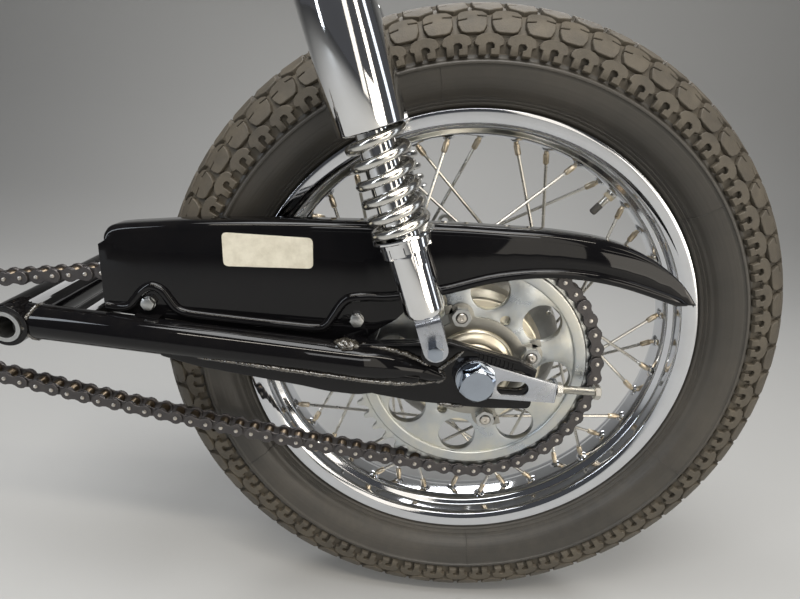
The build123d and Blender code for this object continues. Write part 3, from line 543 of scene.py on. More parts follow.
# Blocks of one tread period as (along, across): the notched shoulder scale, the shield, the crown block
SCALE_BLOCK = [(-9.4, -6.0), (-1.5, -6.0), (-1.5, -1.4), (-4.3, -0.6), (-4.5, 1.8), (-2.6, 3.6), (1.0, 3.6),
               (2.7, 2.2), (2.7, -6.0), (9.4, -6.0), (9.4, 1.0), (12.6, 2.4), (12.9, 5.0), (10.6, 8.8),
               (6.4, 10.9), (0, 11.8), (-6.4, 10.9), (-10.6, 8.8), (-12.9, 5.0), (-12.6, 2.0), (-9.4, 1.0)]
SHIELD_BLOCK = [(-6.0, 12.2), (6.0, 12.2), (9.4, 13.6), (11.9, 19.4), (12.2, 23.4), (4.4, 24.9),
                (4.4, 26.0), (12.2, 24.7), (11.8, 31.6), (8.8, 35.2), (3.0, 36.9), (-3.0, 36.9),
                (-8.8, 35.2), (-11.8, 31.6), (-12.1, 28.8), (-4.2, 29.8), (-4.2, 28.6), (-12.1, 27.4),
                (-11.9, 19.4), (-9.4, 13.6)]
CROWN_BLOCK = [(0.0, 37.6), (5.5, 40.6), (11.4, 44.0), (12.2, 52.0), (5.0, 54.2), (5.0, 55.6), (12.2, 53.6),
               (11.2, 62.0), (12.2, 70.0), (9.0, 76.6), (3.0, 79.8), (-5.0, 78.6), (-11.0, 74.0),
               (-12.4, 67.0), (-4.6, 65.4), (-4.6, 64.0), (-12.2, 65.4), (-11.0, 57.0), (-12.2, 48.0),
               (-11.2, 43.6), (-5.5, 40.6)]


def on_tread(s, t, lift, side):
    """A point at s along the tyre, t across the tread from its shoulder line, lifted off the crown."""
    walked = 0.0
    for a, b in zip(CROWN, CROWN[1:]):
        step = (b - a).length
        if walked + step >= t or b is CROWN[-1]:
            break
        walked += step
    run = (b - a).normalized()
    radius, y = a + run * (t - walked) + Vector((-run.y, run.x)) * lift
    angle = 2 * pi / TREAD_PERIODS * s / BLOCK_SPAN
    return radius * cos(angle), side * y, radius * sin(angle)


def tread_block(outline, offset, draft, side):
    """A raised block: its outline on the crown, widened down to the groove, curved with the tyre."""
    bm = bmesh.new()
    face = bm.faces.new([bm.verts.new((s, t, 0)) for s, t in outline])
    foot = vertices(bmesh.ops.extrude_face_region(bm, geom=[face])["geom"])
    middle = sum((v.co for v in foot), Vector()) / len(foot)
    for v in foot:
        v.co += (v.co - middle).normalized() * 0.6
        v.co.y -= draft if v.co.y < -2 else 0.0
        v.co.z = -BLOCK_H
    faced(bm)
    rim = [e for e in bm.edges if all(abs(v.co.z) < 1e-6 for v in e.verts)]
    bmesh.ops.bevel(bm, geom=rim, offset=0.5, segments=1, profile=0.5, affect="EDGES", material=-1)
    low, high = min(v.co.y for v in bm.verts), max(v.co.y for v in bm.verts)
    for cut in range(1, int((high - low) / BLOCK_CUT)):
        bmesh.ops.bisect_plane(bm, geom=list(bm.verts) + list(bm.edges) + list(bm.faces),
                               plane_co=(0, low + BLOCK_CUT * cut, 0), plane_no=(0, 1, 0))
    for v in bm.verts:
        v.co = on_tread(v.co.x + offset, v.co.y, v.co.z, side)
    return bm


def tyre():
    outside = [(SEAT_R, 28), (230.5, 29.6), (238, 30.3), (243.8, 30.9), (245.5, 33.6), (246.4, 34.9),
               (247.6, 35.9), (248.4, 35.7), (249.6, 37.6), (250.6, 39.0), (251.2, 39.0), (252.4, 41.2),
               (253.4, 42.4), (254.0, 42.3), (258, 47.6), (262, 50.8), (267.4, 53.8), (272, 55.6),
               (276.6, 57.0), (279.6, 57.8), (280.6, 59.1), (282.4, 59.3), (283.6, 58.6), (284.4, 56.4),
               (286.4, 54.9), (289.5, 54.6)]
    grooves = [on_tread(0, CROWN_RUN * i / 26, 0.15 - BLOCK_H, 1)[:2] for i in range(1, 27)]
    outside = flowing(outside, 2) + grooves
    inside = [(SEAT_R, -18), (240.6, -21), (254.6, -40), (270.6, -48), (292.6, -51), (308.6, -47),
              (320.6, -35), (325, -16), (325.5, 0)]
    carcass = lathed(outside + mirrored(outside[:-1]) + inside + mirrored(inside[:-1]), TREAD_PERIODS * 4)
    for face in carcass.faces:
        face.material_index = int(face.calc_center_median().xz.length > TREAD_FROM_R)
    seam = flowing([(SEAT_R + h, y + 0.05) for h, y in WALL_SEAM], 5)
    seam = swept([(p.x, -p.y, 0) for p in seam], 0.35, 6)
    shapes = [carcass, both_sides(repeated(seam, [swung(at) for at in SEAMS_AT]))]
    period = 360 / TREAD_PERIODS
    for side in SIDES:
        start = TREAD_PHASE + (0 if side < 0 else period / 2)
        blocks = [tread_block(SCALE_BLOCK, 0, 0.6, side), tread_block(SHIELD_BLOCK, BLOCK_SPAN / 2, 0, side),
                  tread_block(CROWN_BLOCK, 0, 0, side)]
        row = repeated(joined(blocks, [1, 1, 1]), [swung(start + period * k) for k in range(TREAD_PERIODS)])
        shapes.append(faced(row))
    piece("tyre_with_tread", joined(shapes), "wheel", [RUBBER, TREAD], ["tyre"], crease=38)


# Rim, spokes and valve

def lacing():
    """Each spoke's angle, its side of the wheel, whether its head lies outside, and its Y at the rim."""
    for k in range(SPOKES):
        side, outside = -1 if k % 2 else 1, (k // 2) % 2 == 1
        yield SPOKE_PHASE + 360 / SPOKES * k, side, outside, side * (OUTER_RIM_Y if outside else INNER_RIM_Y)


def rim():
    above_well = [(0, 0), (0, 9.0), (2.6, 14.8), (9.0, 18.6), (9.6, 27.6), (10.6, 31.2), (16.0, 33.9),
                  (24.0, 35.3), (26.6, 35.0), (26.9, 33.6), (25.6, 32.9), (23.4, 32.3), (13.7, 29.7),
                  (12.0, 28.1), (12.0, 17.5), (5.2, 13.5), (2.4, 8.0), (2.2, 0)]
    half = rounded([(WELL_R + up, y) for up, y in above_well], 1.7, 4, closed=False)
    dimple = lathed([(0, 2.6), (3.4, 2.5), (5.0, 1.6), (6.4, 0.3), (7.6, -1.0)], 16, closed=False)
    dimples = repeated(dimple, [swung(at) @ moved(WELL_R, y, 0) @ INWARD for at, _, _, y in lacing()])
    whole = joined([lathed(half + mirrored(half[1:-1]), 240), dimples])
    piece("rim_chromed", whole, "wheel", [RIM_CHROME], ["rim"], crease=40)


def spokes_and_nipples():
    wires, nipples = [], []
    for at, side, outside, rim_y in lacing():
        hub_y = side * (FLANGE_Y + SPOKE_R - 0.3 if outside else FLANGE_Y - FLANGE_T - SPOKE_R + 0.3)
        rim_x, rim_z = polar(WELL_R + 0.2, at)
        hub_x, hub_z = polar(HOLE_R, at + (LACE if outside else -LACE))
        top, foot = Vector((rim_x, rim_y, rim_z)), Vector((hub_x, hub_y, hub_z))
        inward = Vector((0, -side if outside else side, 0))
        run = (foot - top).normalized()
        through = foot + inward * (FLANGE_T + SPOKE_R)
        wire = [top + run * (NIPPLE_L - 2), foot - run * 3.5, foot - run + inward * 0.3, foot + inward * 1.6,
                through]
        head = [through, through + inward * 0.5, through + inward * 1.6]
        wires += [swept(wire, SPOKE_R, 8), swept(head, [SPOKE_R, 3.1, 2.0], 10)]
        nipples.append(swept([top + run * d for d in (-1.0, 4.2, 5.0, 5.6, 14.6, 15.2, NIPPLE_L)],
                             [2.4, 2.4, 2.5, NIPPLE_R + 0.1, NIPPLE_R, 2.7, 2.1], 8))
    piece("spoke_wires", joined(wires), "wheel", [SPOKE_STEEL], ["spokes"])
    piece("spoke_nipples", joined(nipples), "wheel", [BRASS], ["nipples"], crease=40)


def valve():
    stem = [(0, 1.0), (6.4, 1.0), (6.0, 2.6), (4.3, 5.0), (4.0, 8.0), (3.7, 16.0), (3.2, 18.0), (0, 18.0)]
    cap = [(0, 17.0), (3.9, 17.0), (4.0, 17.8), (4.0, 26.4), (3.5, 28.0), (2.2, 28.8), (0, 29.0)]
    shapes = [lathed(stem, 20, closed=False), hexagon(10, 3.2, 7.6), lathed(cap, 20, closed=False)]
    whole = placed(joined(shapes, [0, 1, 2]), swung(VALVE_AT) @ moved(WELL_R, 0, 0) @ INWARD)
    piece("valve_stem", whole, "wheel", [SPOKE_STEEL, GOLD, VALVE_RUBBER], ["valve"])


# Hub, sprockets and chain

def hub():
    drum, wall, low, high = 90.0, 84.0, FLANGE_Y - FLANGE_T, FLANGE_Y
    section = [(21, -37), (72, -37), (88, -35.4), (FLANGE_R, -high), (FLANGE_R, -low), (86, -low),
               (60, -22), (46, -11), (46, 9), (60, 21), (86, low), (FLANGE_R, low), (FLANGE_R, high),
               (drum, 36), (drum, 58), (wall, 58), (wall, 32), (58, 25), (21, 25)]
    fin = lathed([(drum - 0.5, 40), (drum + 1.6, 40.6), (drum + 1.6, 42.4), (drum - 0.5, 43)], 120)
    fins = repeated(fin, [moved(0, 6 * i, 0) for i in range(3)])
    piece("hub_turned", joined([lathed(rounded(section, 1.6, 3), 120), fins]), "wheel", [ALLOY], ["hub"])


def sprocket_carrier():
    collar = [(18, -37), (74, -37), (74, -61), (70, -75), (68, -77), (COLLAR_R, -77)]
    dome = [(COLLAR_R, 0.6), (40.6, -0.6), (39.0, -2.6), (38.4, -2.2), (36.5, -2.6), (33.0, -4.4),
            (28.4, -5.2), (27.6, -4.4), (26.8, -4.6), (24.0, -6.8), (20.0, -7.5), (18, -7.5)]
    section = collar + [(r, NUTS_FOOT_Y + y) for r, y in dome]
    piece("sprocket_dome", lathed(rounded(section, 1.0, 3), 96), "wheel", [DOME], ["sprocket_carrier"])


def tooth_ring(teeth, pitch_r, phase, root, inner):
    """The toothed rim of a sprocket: a round root at each roller, and teeth narrowed towards their tips."""
    outline, half = [], TOOTH_W / 2
    shoulder, tip_r = pitch_r - root + 0.4, pitch_r + TOOTH_TIP
    for i in range(teeth):
        gap, tip = radians(phase + 360 * i / teeth), radians(phase + 360 * (i + 0.5) / teeth)
        spots = [(gap, pitch_r - c, -s) for c, s in (polar(root, b) for b in range(90, -91, -30))]
        spots += [(tip, tip_r - 1.2, -2.0), (tip, tip_r, -1.0), (tip, tip_r, 1.0), (tip, tip_r - 1.2, 2.0)]
        outline += [Vector((r * cos(a) - t * sin(a), r * sin(a) + t * cos(a))) for a, r, t in spots]

    def row(limit, side, ease):
        points = []
        for p in outline:
            r = min(p.length, limit)
            thin = max(0.0, r - shoulder) * 0.26 + ease
            points.append((p.x * r / p.length, CHAIN_Y + side * (half - thin), p.y * r / p.length))
        return points

    rows = [row(inner, 1, 0), row(inner, -1, 0), row(shoulder, -1, 0), row(999, -1, 0.15), row(999, 1, 0.15),
            row(shoulder, 1, 0)]
    return bridged(rows, loop=True)


def rear_sprocket():
    outer, inner = CHAIN_Y - TOOTH_W / 2, CHAIN_Y + TOOTH_W / 2
    holes = [circle(COLLAR_R, 72)]
    holes += [circle(WEB_HOLE_R, 48, *polar(WEB_HOLES_R, WEB_HOLE_AT + 360 / WEB_HOLES * i))
              for i in range(WEB_HOLES)]
    holes += [circle(5, 20, *polar(STUDS_R, SMALL_HOLE_AT + 360 / STUDS * i)) for i in range(STUDS)]
    band = [(100, outer + 1), (100, outer - 1.6), (101.4, outer - RING_UP), (110.4, outer - RING_UP),
            (112, outer - 1.4), (112.6, outer), (112.6, inner), (100, inner)]
    shapes = [plate(circle(104, 144), outer, inner, 0.9, 2, holes), lathed(rounded(band, 0.8, 3), 144),
              tooth_ring(TEETH, REAR_PITCH_R, CHAIN_PHASE, ROLLER_R + 0.3, 111)]
    piece("rear_sprocket_turned", joined(shapes), "wheel", [TURNED_ZINC], ["rear_sprocket"], crease=30)


def gear_centre():
    low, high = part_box("gearbox_sprocket")
    return ((low + high) / 2 - WHEEL) * 1000


def gearbox_sprocket():
    centre, nose = gear_centre(), min(chain_route(), key=lambda p: p.x)
    phase = degrees(atan2(nose.y - centre.z, nose.x - centre.x))
    boss = [(12.5, -4), (25, -4), (25, 4), (24, 5), (24, 10), (23, 11), (12.5, 11)]
    boss = lathed(rounded([(r, CHAIN_Y + y) for r, y in boss], 0.6, 2), 64)
    whole = joined([tooth_ring(FRONT_TEETH, FRONT_PITCH_R, phase, ROLLER_R + 0.1, 24), boss])
    placed(whole, moved(centre.x, 0, centre.z))
    piece("gearbox_sprocket_turned", whole, "swingarm", [ZINC], ["gearbox_sprocket"])


def lock_plate():
    """The locking ring under the sprocket's nuts, with a lobe and a tab at each stud."""
    outline = []
    for angle in (1.5 * i for i in range(240)):
        off = radians((angle - STUD_AT + 45) % 90 - 45)
        reach, inside = 53.0, STUD_LOBE_R ** 2 - (STUDS_R * sin(off)) ** 2
        if inside > 0:
            reach = max(reach, STUDS_R * cos(off) + sqrt(inside))
        outline.append(polar(reach, angle))
    ring = plate(outline, -85, NUTS_FOOT_Y, 0.5, 2, [circle(COLLAR_R, 72)])
    tab = plate([(-4.5, -4), (4.5, -4), (4.5, 4), (-4.5, 4)], -86.2, NUTS_FOOT_Y, 0.3)
    (x, z), at = polar(66.0, 9), [STUD_AT + 360 / STUDS * i for i in range(STUDS)]
    tabs = repeated(tab, [swung(angle) @ moved(x, 0, z) for angle in at])
    piece("lock_ring", joined([ring, tabs]), "wheel", [DULL_ZINC], ["lock_plate"])


def sprocket_nuts():
    top, stud = NUTS_FOOT_Y - 8.0, NUTS_FOOT_Y - 9.5
    places = []
    for i in range(STUDS):
        x, z = polar(STUDS_R, STUD_AT + 360 / STUDS * i)
        places.append(moved(x, 0, z) @ swung(4 - 6 * i))
    end = [(4.8, top + 2.4), (4.8, stud + 1.0), (4.2, stud + 0.3), (1.8, stud), (1.2, stud + 0.9),
           (0, stud + 1.2)]
    whole = joined([six_sided_nut(17.6, NUTS_FOOT_Y, top), lathed(end, 24, closed=False)], [0, 1])
    piece("sprocket_stud_nuts", repeated(whole, places), "wheel", [ZINC, PIN], ["sprocket_nuts"], crease=24)


def chain_route():
    """The pins' places, one pitch apart round both sprockets, with slack in the lower run."""
    gear, big, small = gear_centre(), REAR_PITCH_R, FRONT_PITCH_R
    apart, line = hypot(gear.x, gear.z), atan2(gear.z, gear.x)
    turn = acos((big - small) / apart)
    upper, lower, begin = line - turn, line + turn, radians(CHAIN_PHASE)
    run = apart * sin(turn)
    lengths = [big * ((upper - begin) % (2 * pi)), run, small * 2 * turn, run + 8 * SAG ** 2 / (3 * run),
               big * ((begin - lower) % (2 * pi))]

    def point(along):
        part = 0
        along %= sum(lengths)
        while part < 4 and along > lengths[part]:
            along -= lengths[part]
            part += 1
        if part in (0, 4):
            angle = (begin if part == 0 else lower) + along / big
            return Vector((big * cos(angle), big * sin(angle)))
        if part == 2:
            angle = upper + along / small
            return Vector((small * cos(angle) + gear.x, small * sin(angle) + gear.z))
        u, angle = along / lengths[part], upper if part == 1 else lower
        away = Vector((cos(angle), sin(angle)))
        ends = [away * big, away * small + gear.xz]
        start, stop = ends if part == 1 else ends[::-1]
        return start.lerp(stop, u) + away * (4 * SAG * u * (1 - u) if part == 3 else 0)

    pins, along = [], 0.0
    for _ in range(LINKS):
        pins.append(point(along))
        short, long = along + 0.9 * PITCH, along + 1.2 * PITCH
        for _ in range(30):
            along = (short + long) / 2
            short, long = (along, long) if (point(along) - pins[-1]).length < PITCH else (short, along)
    return pins


def link_plate(y, end_radius):
    """A waisted plate between two pins, its pins at x 0 and one pitch."""
    outline = arc(end_radius, 50, 310, 26) + [(PITCH / 2, -PLATE_WAIST)]
    outline += arc(end_radius, -130, 130, 26, PITCH) + [(PITCH / 2, PLATE_WAIST)]
    return plate(outline, y - PLATE_T / 2, y + PLATE_T / 2, 0.35, 1)


def link(plate_y, end_radius, half, steps, number):
    """Two plates on the two rollers or pins that are turned from half a section."""
    turned = lathed(half + mirrored(half), steps, closed=False)
    plates = [link_plate(side * plate_y, end_radius) for side in SIDES]
    return joined(plates + [turned, placed(turned.copy(), moved(PITCH, 0, 0))], [0, 0, number, number])


def chain():
    pins, stands = chain_route(), []
    for i, pin in enumerate(pins):
        run = pins[(i + 1) % LINKS] - pin
        stands.append(moved(pin.x, CHAIN_Y, pin.y) @ swung(degrees(atan2(run.y, run.x))))
    bush = [(4.0, -INNER_PLATE_Y), (4.0, -5.2), (ROLLER_R - 0.4, -5.2), (ROLLER_R, -4.8)]
    inner = link(INNER_PLATE_Y, PLATE_END_R, bush, 14, 1)
    pin = [(0, -PIN_END_Y), (1.3, -PIN_END_Y), (1.9, -PIN_END_Y + 0.4), (2.2, -PIN_END_Y + 1.3)]
    outer = link(OUTER_PLATE_Y, PLATE_END_R - 0.2, pin, 12, 2)
    whole = joined([repeated(inner, stands[1::2]), repeated(outer, stands[::2])])
    piece("chain_links", whole, "swingarm", [CHAIN_PLATE, ROLLER, PIN], ["drive_chain"], crease=36)


# Shock absorbers

def shock_piece(name, shape, finishes, node, crease=32):
    """A piece of both shock absorbers, from a shape that stands along Y from the lower bolt."""
    pair(name, placed(shape, ON_SHOCK), finishes, [node], crease)


def spring_path():
    """The coil's middle line, its first turn closed down onto the lower seat."""
    path, rise, steps, closed_pitch = [], SPRING_START, 24, 2.1 * WIRE_R
    for i in range(int(SPRING_TURNS * steps) + 1):
        z, x = polar(SPRING_R, 360 / steps * i - 150)
        path.append((x, rise, z))
        if i >= 4:
            opened = closed_pitch + (SPRING_PITCH - closed_pitch) * (i - 4) / steps
            rise += min(SPRING_PITCH, opened) / steps
    return path


def shock_absorbers():
    body = [(0, 29.5), (13.6, 29.5), (17.2, 31.4), (18.5, 35.5), (18.5, 89), (15.6, 99), (15.5, 231),
            (0, 231)]
    shell = [(28.4, 195.3), (28.8, 194.5), (29.6, 194.5), (30.0, 195.3), (30.0, 308), (28.8, 313.4),
             (23.0, 318.4), (12, 321), (0, 321), (0, 318), (12, 317.6), (22, 313), (28.4, 306)]
    seat = [(15.7, 103.2), (26.8, 103.2), (27.6, 104.0), (27.6, 105.4), (26.8, 106.2), (15.7, 106.2)]
    shock_piece("shock_tubes", lathed(rounded(body, 1.2, 3), 72), [CHROME], "shock_bodies")
    shock_piece("shock_shrouds", lathed(shell, 72), [CHROME], "shrouds")
    shock_piece("lower_spring_seats", lathed(seat, 72), [CHROME], "spring_seats")
    shock_piece("coil_springs", swept(spring_path(), WIRE_R, 14), [SATIN], "springs", crease=60)


def cam_rings():
    """The stepped ring under each spring's seat, in two halves, with its two keys."""
    shapes = []
    for i in range(5):
        low = 89.2 + 1.6 * i
        step = part_lathed([(18.6, low), (22.4, low), (22.4, 103), (18.6, 103)], 32, 5)
        shapes.append(repeated(step, [swung(-half - 34 * i - 20) for half in (0, 180)]))
    key = part_lathed([(18.4, 79), (20.8, 79.6), (21.2, 95), (18.4, 95)], 20, 4)
    band = lathed([(18.6, 98.7), (22.8, 98.7), (22.8, 103), (18.6, 103)], 60)
    shapes += [repeated(key, [swung(70), swung(-110)]), band]
    shock_piece("preload_cam_rings", faced(joined(shapes)), [CHROME], "preload_cams")


def shock_eyes():
    ring = [(16, -12), (16, 12), (13.4, 12), (13.4, -12)]
    rubber = [(13.4, -13.2), (12.6, -14.4), (10, -14.4), (10, 14.4), (12.6, 14.4), (13.4, 13.2)]
    sleeve = [(10, -15), (10, 15), (8, 15), (8, -15)]
    sections = [rounded(ring, 0.8, 2), rubber, rounded(sleeve, 0.4, 2)]
    eye = joined([lathed(section, 48) for section in sections], [0, 1, 0])
    placed(eye, Matrix.Translation(ON_SHOCK @ Vector((0, EYE_UP, 0))))
    neck = lathed([(0, 320.5), (10.6, 320.5), (9.6, 323), (9.6, 335), (11, 338), (0, 339)], 36)
    pair("shock_eyes_bushed", joined([eye, placed(neck, ON_SHOCK)]), [ZINC, VALVE_RUBBER], ["shock_eyes"])


def clevises():
    """The bent steel strap under each shock absorber, with the collar that carries the tube."""
    rows, half_width, strap_in, strap_out, bend_r, leg_top = [], 11.3, 4.95, 8.35, 5.3, 7
    middle = (strap_in + strap_out) / 2
    line = [(middle, t) for t in (-11.15, -10.6, -9.2, -7, -4, 0, 7, 14)]
    line += arc(bend_r, 0, 90, 15, middle - bend_r, 21.5)
    line += [(-y, t) for y, t in reversed(line)]
    for y, t in line:
        half = sqrt(max(0.0, half_width ** 2 - t ** 2)) if t < 0 else half_width
        drop = LEG_DROP if y > 0 and t < leg_top else 0
        rows.append([(u * half / 6, t - drop, y) for u in range(-6, 7)])
    strap = thickened(bridged(rows, closed=False), strap_in - strap_out)
    collar = lathed([(0, 27.5), (10.5, 27.5), (10.5, 29.5), (0, 29.5)], 48, closed=False)
    shock_piece("shock_clevis_straps", joined([strap, collar]), [BRIGHT_ZINC], "shock_clevises", crease=34)


def lower_bolts():
    collar = lathed([(5, -132.1), (8.4, -132.1), (8.4, -133.2), (5, -133.2)], 28)
    shank = lathed([(0, -115.4), (5, -115.4), (5, -133), (0, -133)], 24)
    bolt = joined([hexagon(13, -133.2, -148, 30, corner=0.3), collar, shank])
    placed(bolt, moved(SHOCK_FOOT.x, 0, SHOCK_FOOT.z))
    pair("shock_lower_bolts", bolt, [NUT_CHROME_PAINTED_REFLECTION], ["shock_bolts"])


# Swingarm: tubes, axle plates, welds and marks

# An arm's middle line as (x, y, z, half height, half width), from the pivot to the axle plate
ARM_LINE = [(-428, -99, 20.4, 17, 17), (-424, -99.2, 20.3, 17, 17), (-300, -104.9, 16.3, 17, 17),
            (-140, -112.3, 11.3, 17, 17), (-110, -113.6, 10.2, 17.2, 17), (-90, -114.6, 8.4, 16.4, 17),
            (-70, -115, 6.2, 13.4, 16.4), (-50, -115, 3.4, 9.6, 15), (-38, -115, 1.6, 6.4, 13.4),
            (-32, -115, 1.0, 4.4, 12.0), (-30, -115, 1.0, 2.4, 10.5)]
KEEL = [(-300, 3), (-262, -5.0), (-226, -8.5), (-164, -14.5), (-138, -18.0), (-112, -18.5), (-84, -14),
        (-58, -5.5), (-52, 2), (-120, 8), (-290, 14)]
PIVOT_X, PIVOT_Z, PIVOT_CUT_R = -440, 21, 18.5


def arms():
    """Both tubes of the swingarm, pressed flat and tapered where they meet the axle plates."""
    rows = []
    for at, size in zip(flowing([p[:3] for p in ARM_LINE], 5), flowing([p[3:] for p in ARM_LINE], 5)):
        pressed, row = held((at.x + 110) / 60), []
        for across, up in (polar(1, 9 * i) for i in range(40)):
            y = at.y - across * size.y * (1 - 0.55 * pressed) + 3.5 * pressed
            row.append((at.x, y, at.z + up * size.x))
        rows.append(row)
    rows[0] = [(PIVOT_X + sqrt(max(4.0, PIVOT_CUT_R ** 2 - (z - PIVOT_Z) ** 2)), y, z) for x, y, z in rows[0]]
    keel = plate(rounded(KEEL, 5, 3), -3, 3, 0.8)
    for v in keel.verts:
        v.co.y += -108.5 - 16 * held((v.co.x - PIVOT_X) / 358) + 6.5 * max(0.0, (v.co.x + 110) / 58)
    pair("swingarm_tubes", joined([capped(bridged(rows)), keel]), [ENAMEL], ["arms"], crease=50)


def axle_plates():
    """The plates that carry the axle, with their outward top flange, shock lug and axle slot."""
    outline = [(-112, 28), (-58, 34), (-29, 37), (39, 22), (57, 14), (57, -29.5), (15, -32), (-12, -32),
               (-60, -30), (-94, -26), (-126, -19), (-126, 20)]
    slot = [(x - 6, z) for x, z in arc(10.1, 90, 270, 15)] + arc(10.1, -90, 90, 15, 40)
    base = plate(rounded(outline, 6), PLATE_IN_Y, PLATE_OUT_Y, 0.8, 2, [slot])
    edge = [(-110, 28.2), (-58, 34), (-29, 37), (39, 22), (56, 14.6)]
    flange = plate(edge + [(x, z - 3) for x, z in reversed(edge)], PLATE_OUT_Y + 1, PLATE_OUT_Y - 5, 1.0, 3)
    lug_in, lug_out, x, z = -119.2, -128.2, SHOCK_FOOT.x, SHOCK_FOOT.z
    lug = plate(arc(11.3, 0, 180, 12, x, z) + arc(12.5, 180, 360, 12, x, z - 8), lug_in, lug_out, 1.2, 3)
    step = [(x - 9, z - 18), (x + 9, z - 18), (x + 9, z - 12), (x - 9, z - 12)]
    step = plate(step, PLATE_OUT_Y + 1, lug_in - 2, 1.5, 3)
    pair("axle_plates_pressed", joined([base, flange, lug, step]), [ENAMEL], ["axle_plates"], crease=34)


def weld_bead(path, radius, seed):
    """A laid bead with its ripples, 1.1 mm apart."""
    line = flowing(path, 6)
    count = max(6, int(sum((b - a).length for a, b in zip(line, line[1:])) / 1.1))
    points, radii = [], []
    for i in range(count + 1):
        u = i / count * (len(line) - 1)
        wander = noise.noise_vector(Vector((i * 0.23, seed, 0))) * 0.35 * radius
        points.append(line[int(u)].lerp(line[min(int(u) + 1, len(line) - 1)], u % 1) + wander)
        fade = min(1.0, 3.2 * min(i, count - i) / count + 0.35)
        ripple = 0.86 + 0.14 * sin(i * 2.1) + 0.12 * noise.noise(Vector((i * 0.4, 0, seed)))
        radii.append(radius * fade * ripple)
    return swept(points, radii, 10)


def arm_welds():
    """The beads where the arm meets the axle plate, its keel bar and the pivot tube, as (radius, path)."""
    pivot = [(-421 - 3.0 * cos(radians(turn * 2)), -100 + y, 20.4 + z)
             for turn in (*range(0, 360, 20), 0) for y, z in [polar(16.4, turn)]]
    laid = [(3.0, [(-116, -112, 27), (-92, -113, 25.5), (-70, -112.5, 21), (-52, -112, 13),
                   (-38, -112, 4.5)]),
            (3.5, [(-40, -112, 6), (-31, -112, 0.5), (-38, -112, -6)]),
            (2.3, [(-36, -111, -6), (-60, -120, -5.5), (-90, -125, -4.2), (-140, -126.5, -0.5),
                   (-200, -123.5, 2.2), (-262, -119.5, 4.2)]),
            (2.3, [(-38, -110.5, 4), (-28, -110.5, 14), (-14, -110.5, 27)]),
            (2.2, [(-34, -109.4, -31.2), (-22, -109.4, -31.8), (-8, -109.4, -31.9)]),
            (2.2, pivot)]
    beads = [weld_bead(path, radius, seed) for seed, (radius, path) in enumerate(laid, 1)]
    lump = bmesh.new()
    bmesh.ops.create_icosphere(lump, subdivisions=4, radius=1)
    for v in lump.verts:
        v.co *= 1 + 0.28 * noise.noise(v.co * 2.6) + 0.10 * noise.noise(v.co * 7.0)
    beads.append(placed(lump, moved(-124, -117, 27.5) @ Matrix.Diagonal((11, 7.0, 6.0, 1))))
    pair("arm_weld_beads", joined(beads), [WELD_WITH_PAINTED_GLINTS], crease=60)


def alignment_marks():
    """The nine strokes over the axle's slot, which follow the plate's sloping top."""
    marks = []
    for x in (1.5 + 4.1 * i for i in range(9)):
        top = 37 - (x + 29) * 15 / 68 - 3.6
        stroke = [(x - 0.8, top - 8.5), (x + 0.8, top - 8.5), (x + 0.8, top), (x - 0.8, top)]
        marks.append(plate(stroke, PLATE_OUT_Y + 0.1, PLATE_OUT_Y - 1.2, 0.35))
    pair("axle_alignment_marks", joined(marks), [ENAMEL])


# Axle and adjusters

def axle_nut():
    washer = [(10, ADJUSTER_Y), (19.2, ADJUSTER_Y), (19.2, -115.6), (16.0, -116.4), (10, -116.4)]
    nut = hexagon(31, ADJUSTER_Y, -128.2, 24, steps=12, corner=0.9)
    whole = joined([lathed(rounded(washer, 0.6, 2), 64), nut])
    piece("axle_nut_chromed", whole, "swingarm", [NUT_CHROME_PAINTED_REFLECTION], ["axle_nut"], crease=24)


def adjusters():
    """The folded plates that hold the axle's ends, with an open window and a tab for the screw."""
    fold_x, low, height = ADJUSTER_END - FOLD_R, -19.4, 20.2
    outline = arc(19.5, 80, 276, 7) + [(14, -19.6), (fold_x, low), (fold_x, 0.8), (12, 16.0)]
    window = arc(7.5, 90, 270, 15, 28.5, -7) + arc(7.5, -90, 90, 15, 44, -7)
    flat = plate(outline, PLATE_OUT_Y, ADJUSTER_Y, 0.4, 2, [window, circle(10.05, 40)])
    profile = arc(FOLD_R, -90, 0, 15, fold_x, ADJUSTER_Y + FOLD_R) + [(ADJUSTER_END, -106)]
    profile += arc(FOLD_R, 0, 90, 15, fold_x, -101.5) + [(ADJUSTER_END - x, -98.6) for x in (4.2, 5.4, 6.6)]
    rows = []
    for level, (x, y) in enumerate(profile):
        cut = (0, 0.7, 2.4)[max(0, level - len(profile) + 3)]
        rows.append([(x, y, low + cut + (height - 2 * cut) * k / 8) for k in range(9)])
    sheet = faced(bridged(rows, closed=False))
    fold = thickened(sheet, 2.8 if faces_rearward(sheet) else -2.8)
    pair("folded_adjusters", joined([flat, fold]), [BRIGHT_ZINC], ["chain_adjusters"], crease=34)


def faces_rearward(sheet):
    """Whether the rearmost face of an open sheet looks to the rear."""
    return max(sheet.faces, key=lambda f: f.calc_center_median().x).normal.x > 0


def adjuster_screws():
    thread = [(r, y + 0.8 * i) for i in range(74) for r, y in ((3.6, 57), (4.0, 57.4))]
    screw = lathed([(0, 57)] + thread + [(3.7, 116.6), (0, 116.8)], 18, closed=False)
    whole = joined([screw, hexagon(12, ADJUSTER_END, 85), hexagon(13, 116.2, 121.6)])
    pair("adjuster_screws", placed(whole, moved(0, -106.7, -7.0) @ REARWARD), [SPOKE_STEEL],
         ["adjuster_bolts"])


# Chain guard and its label

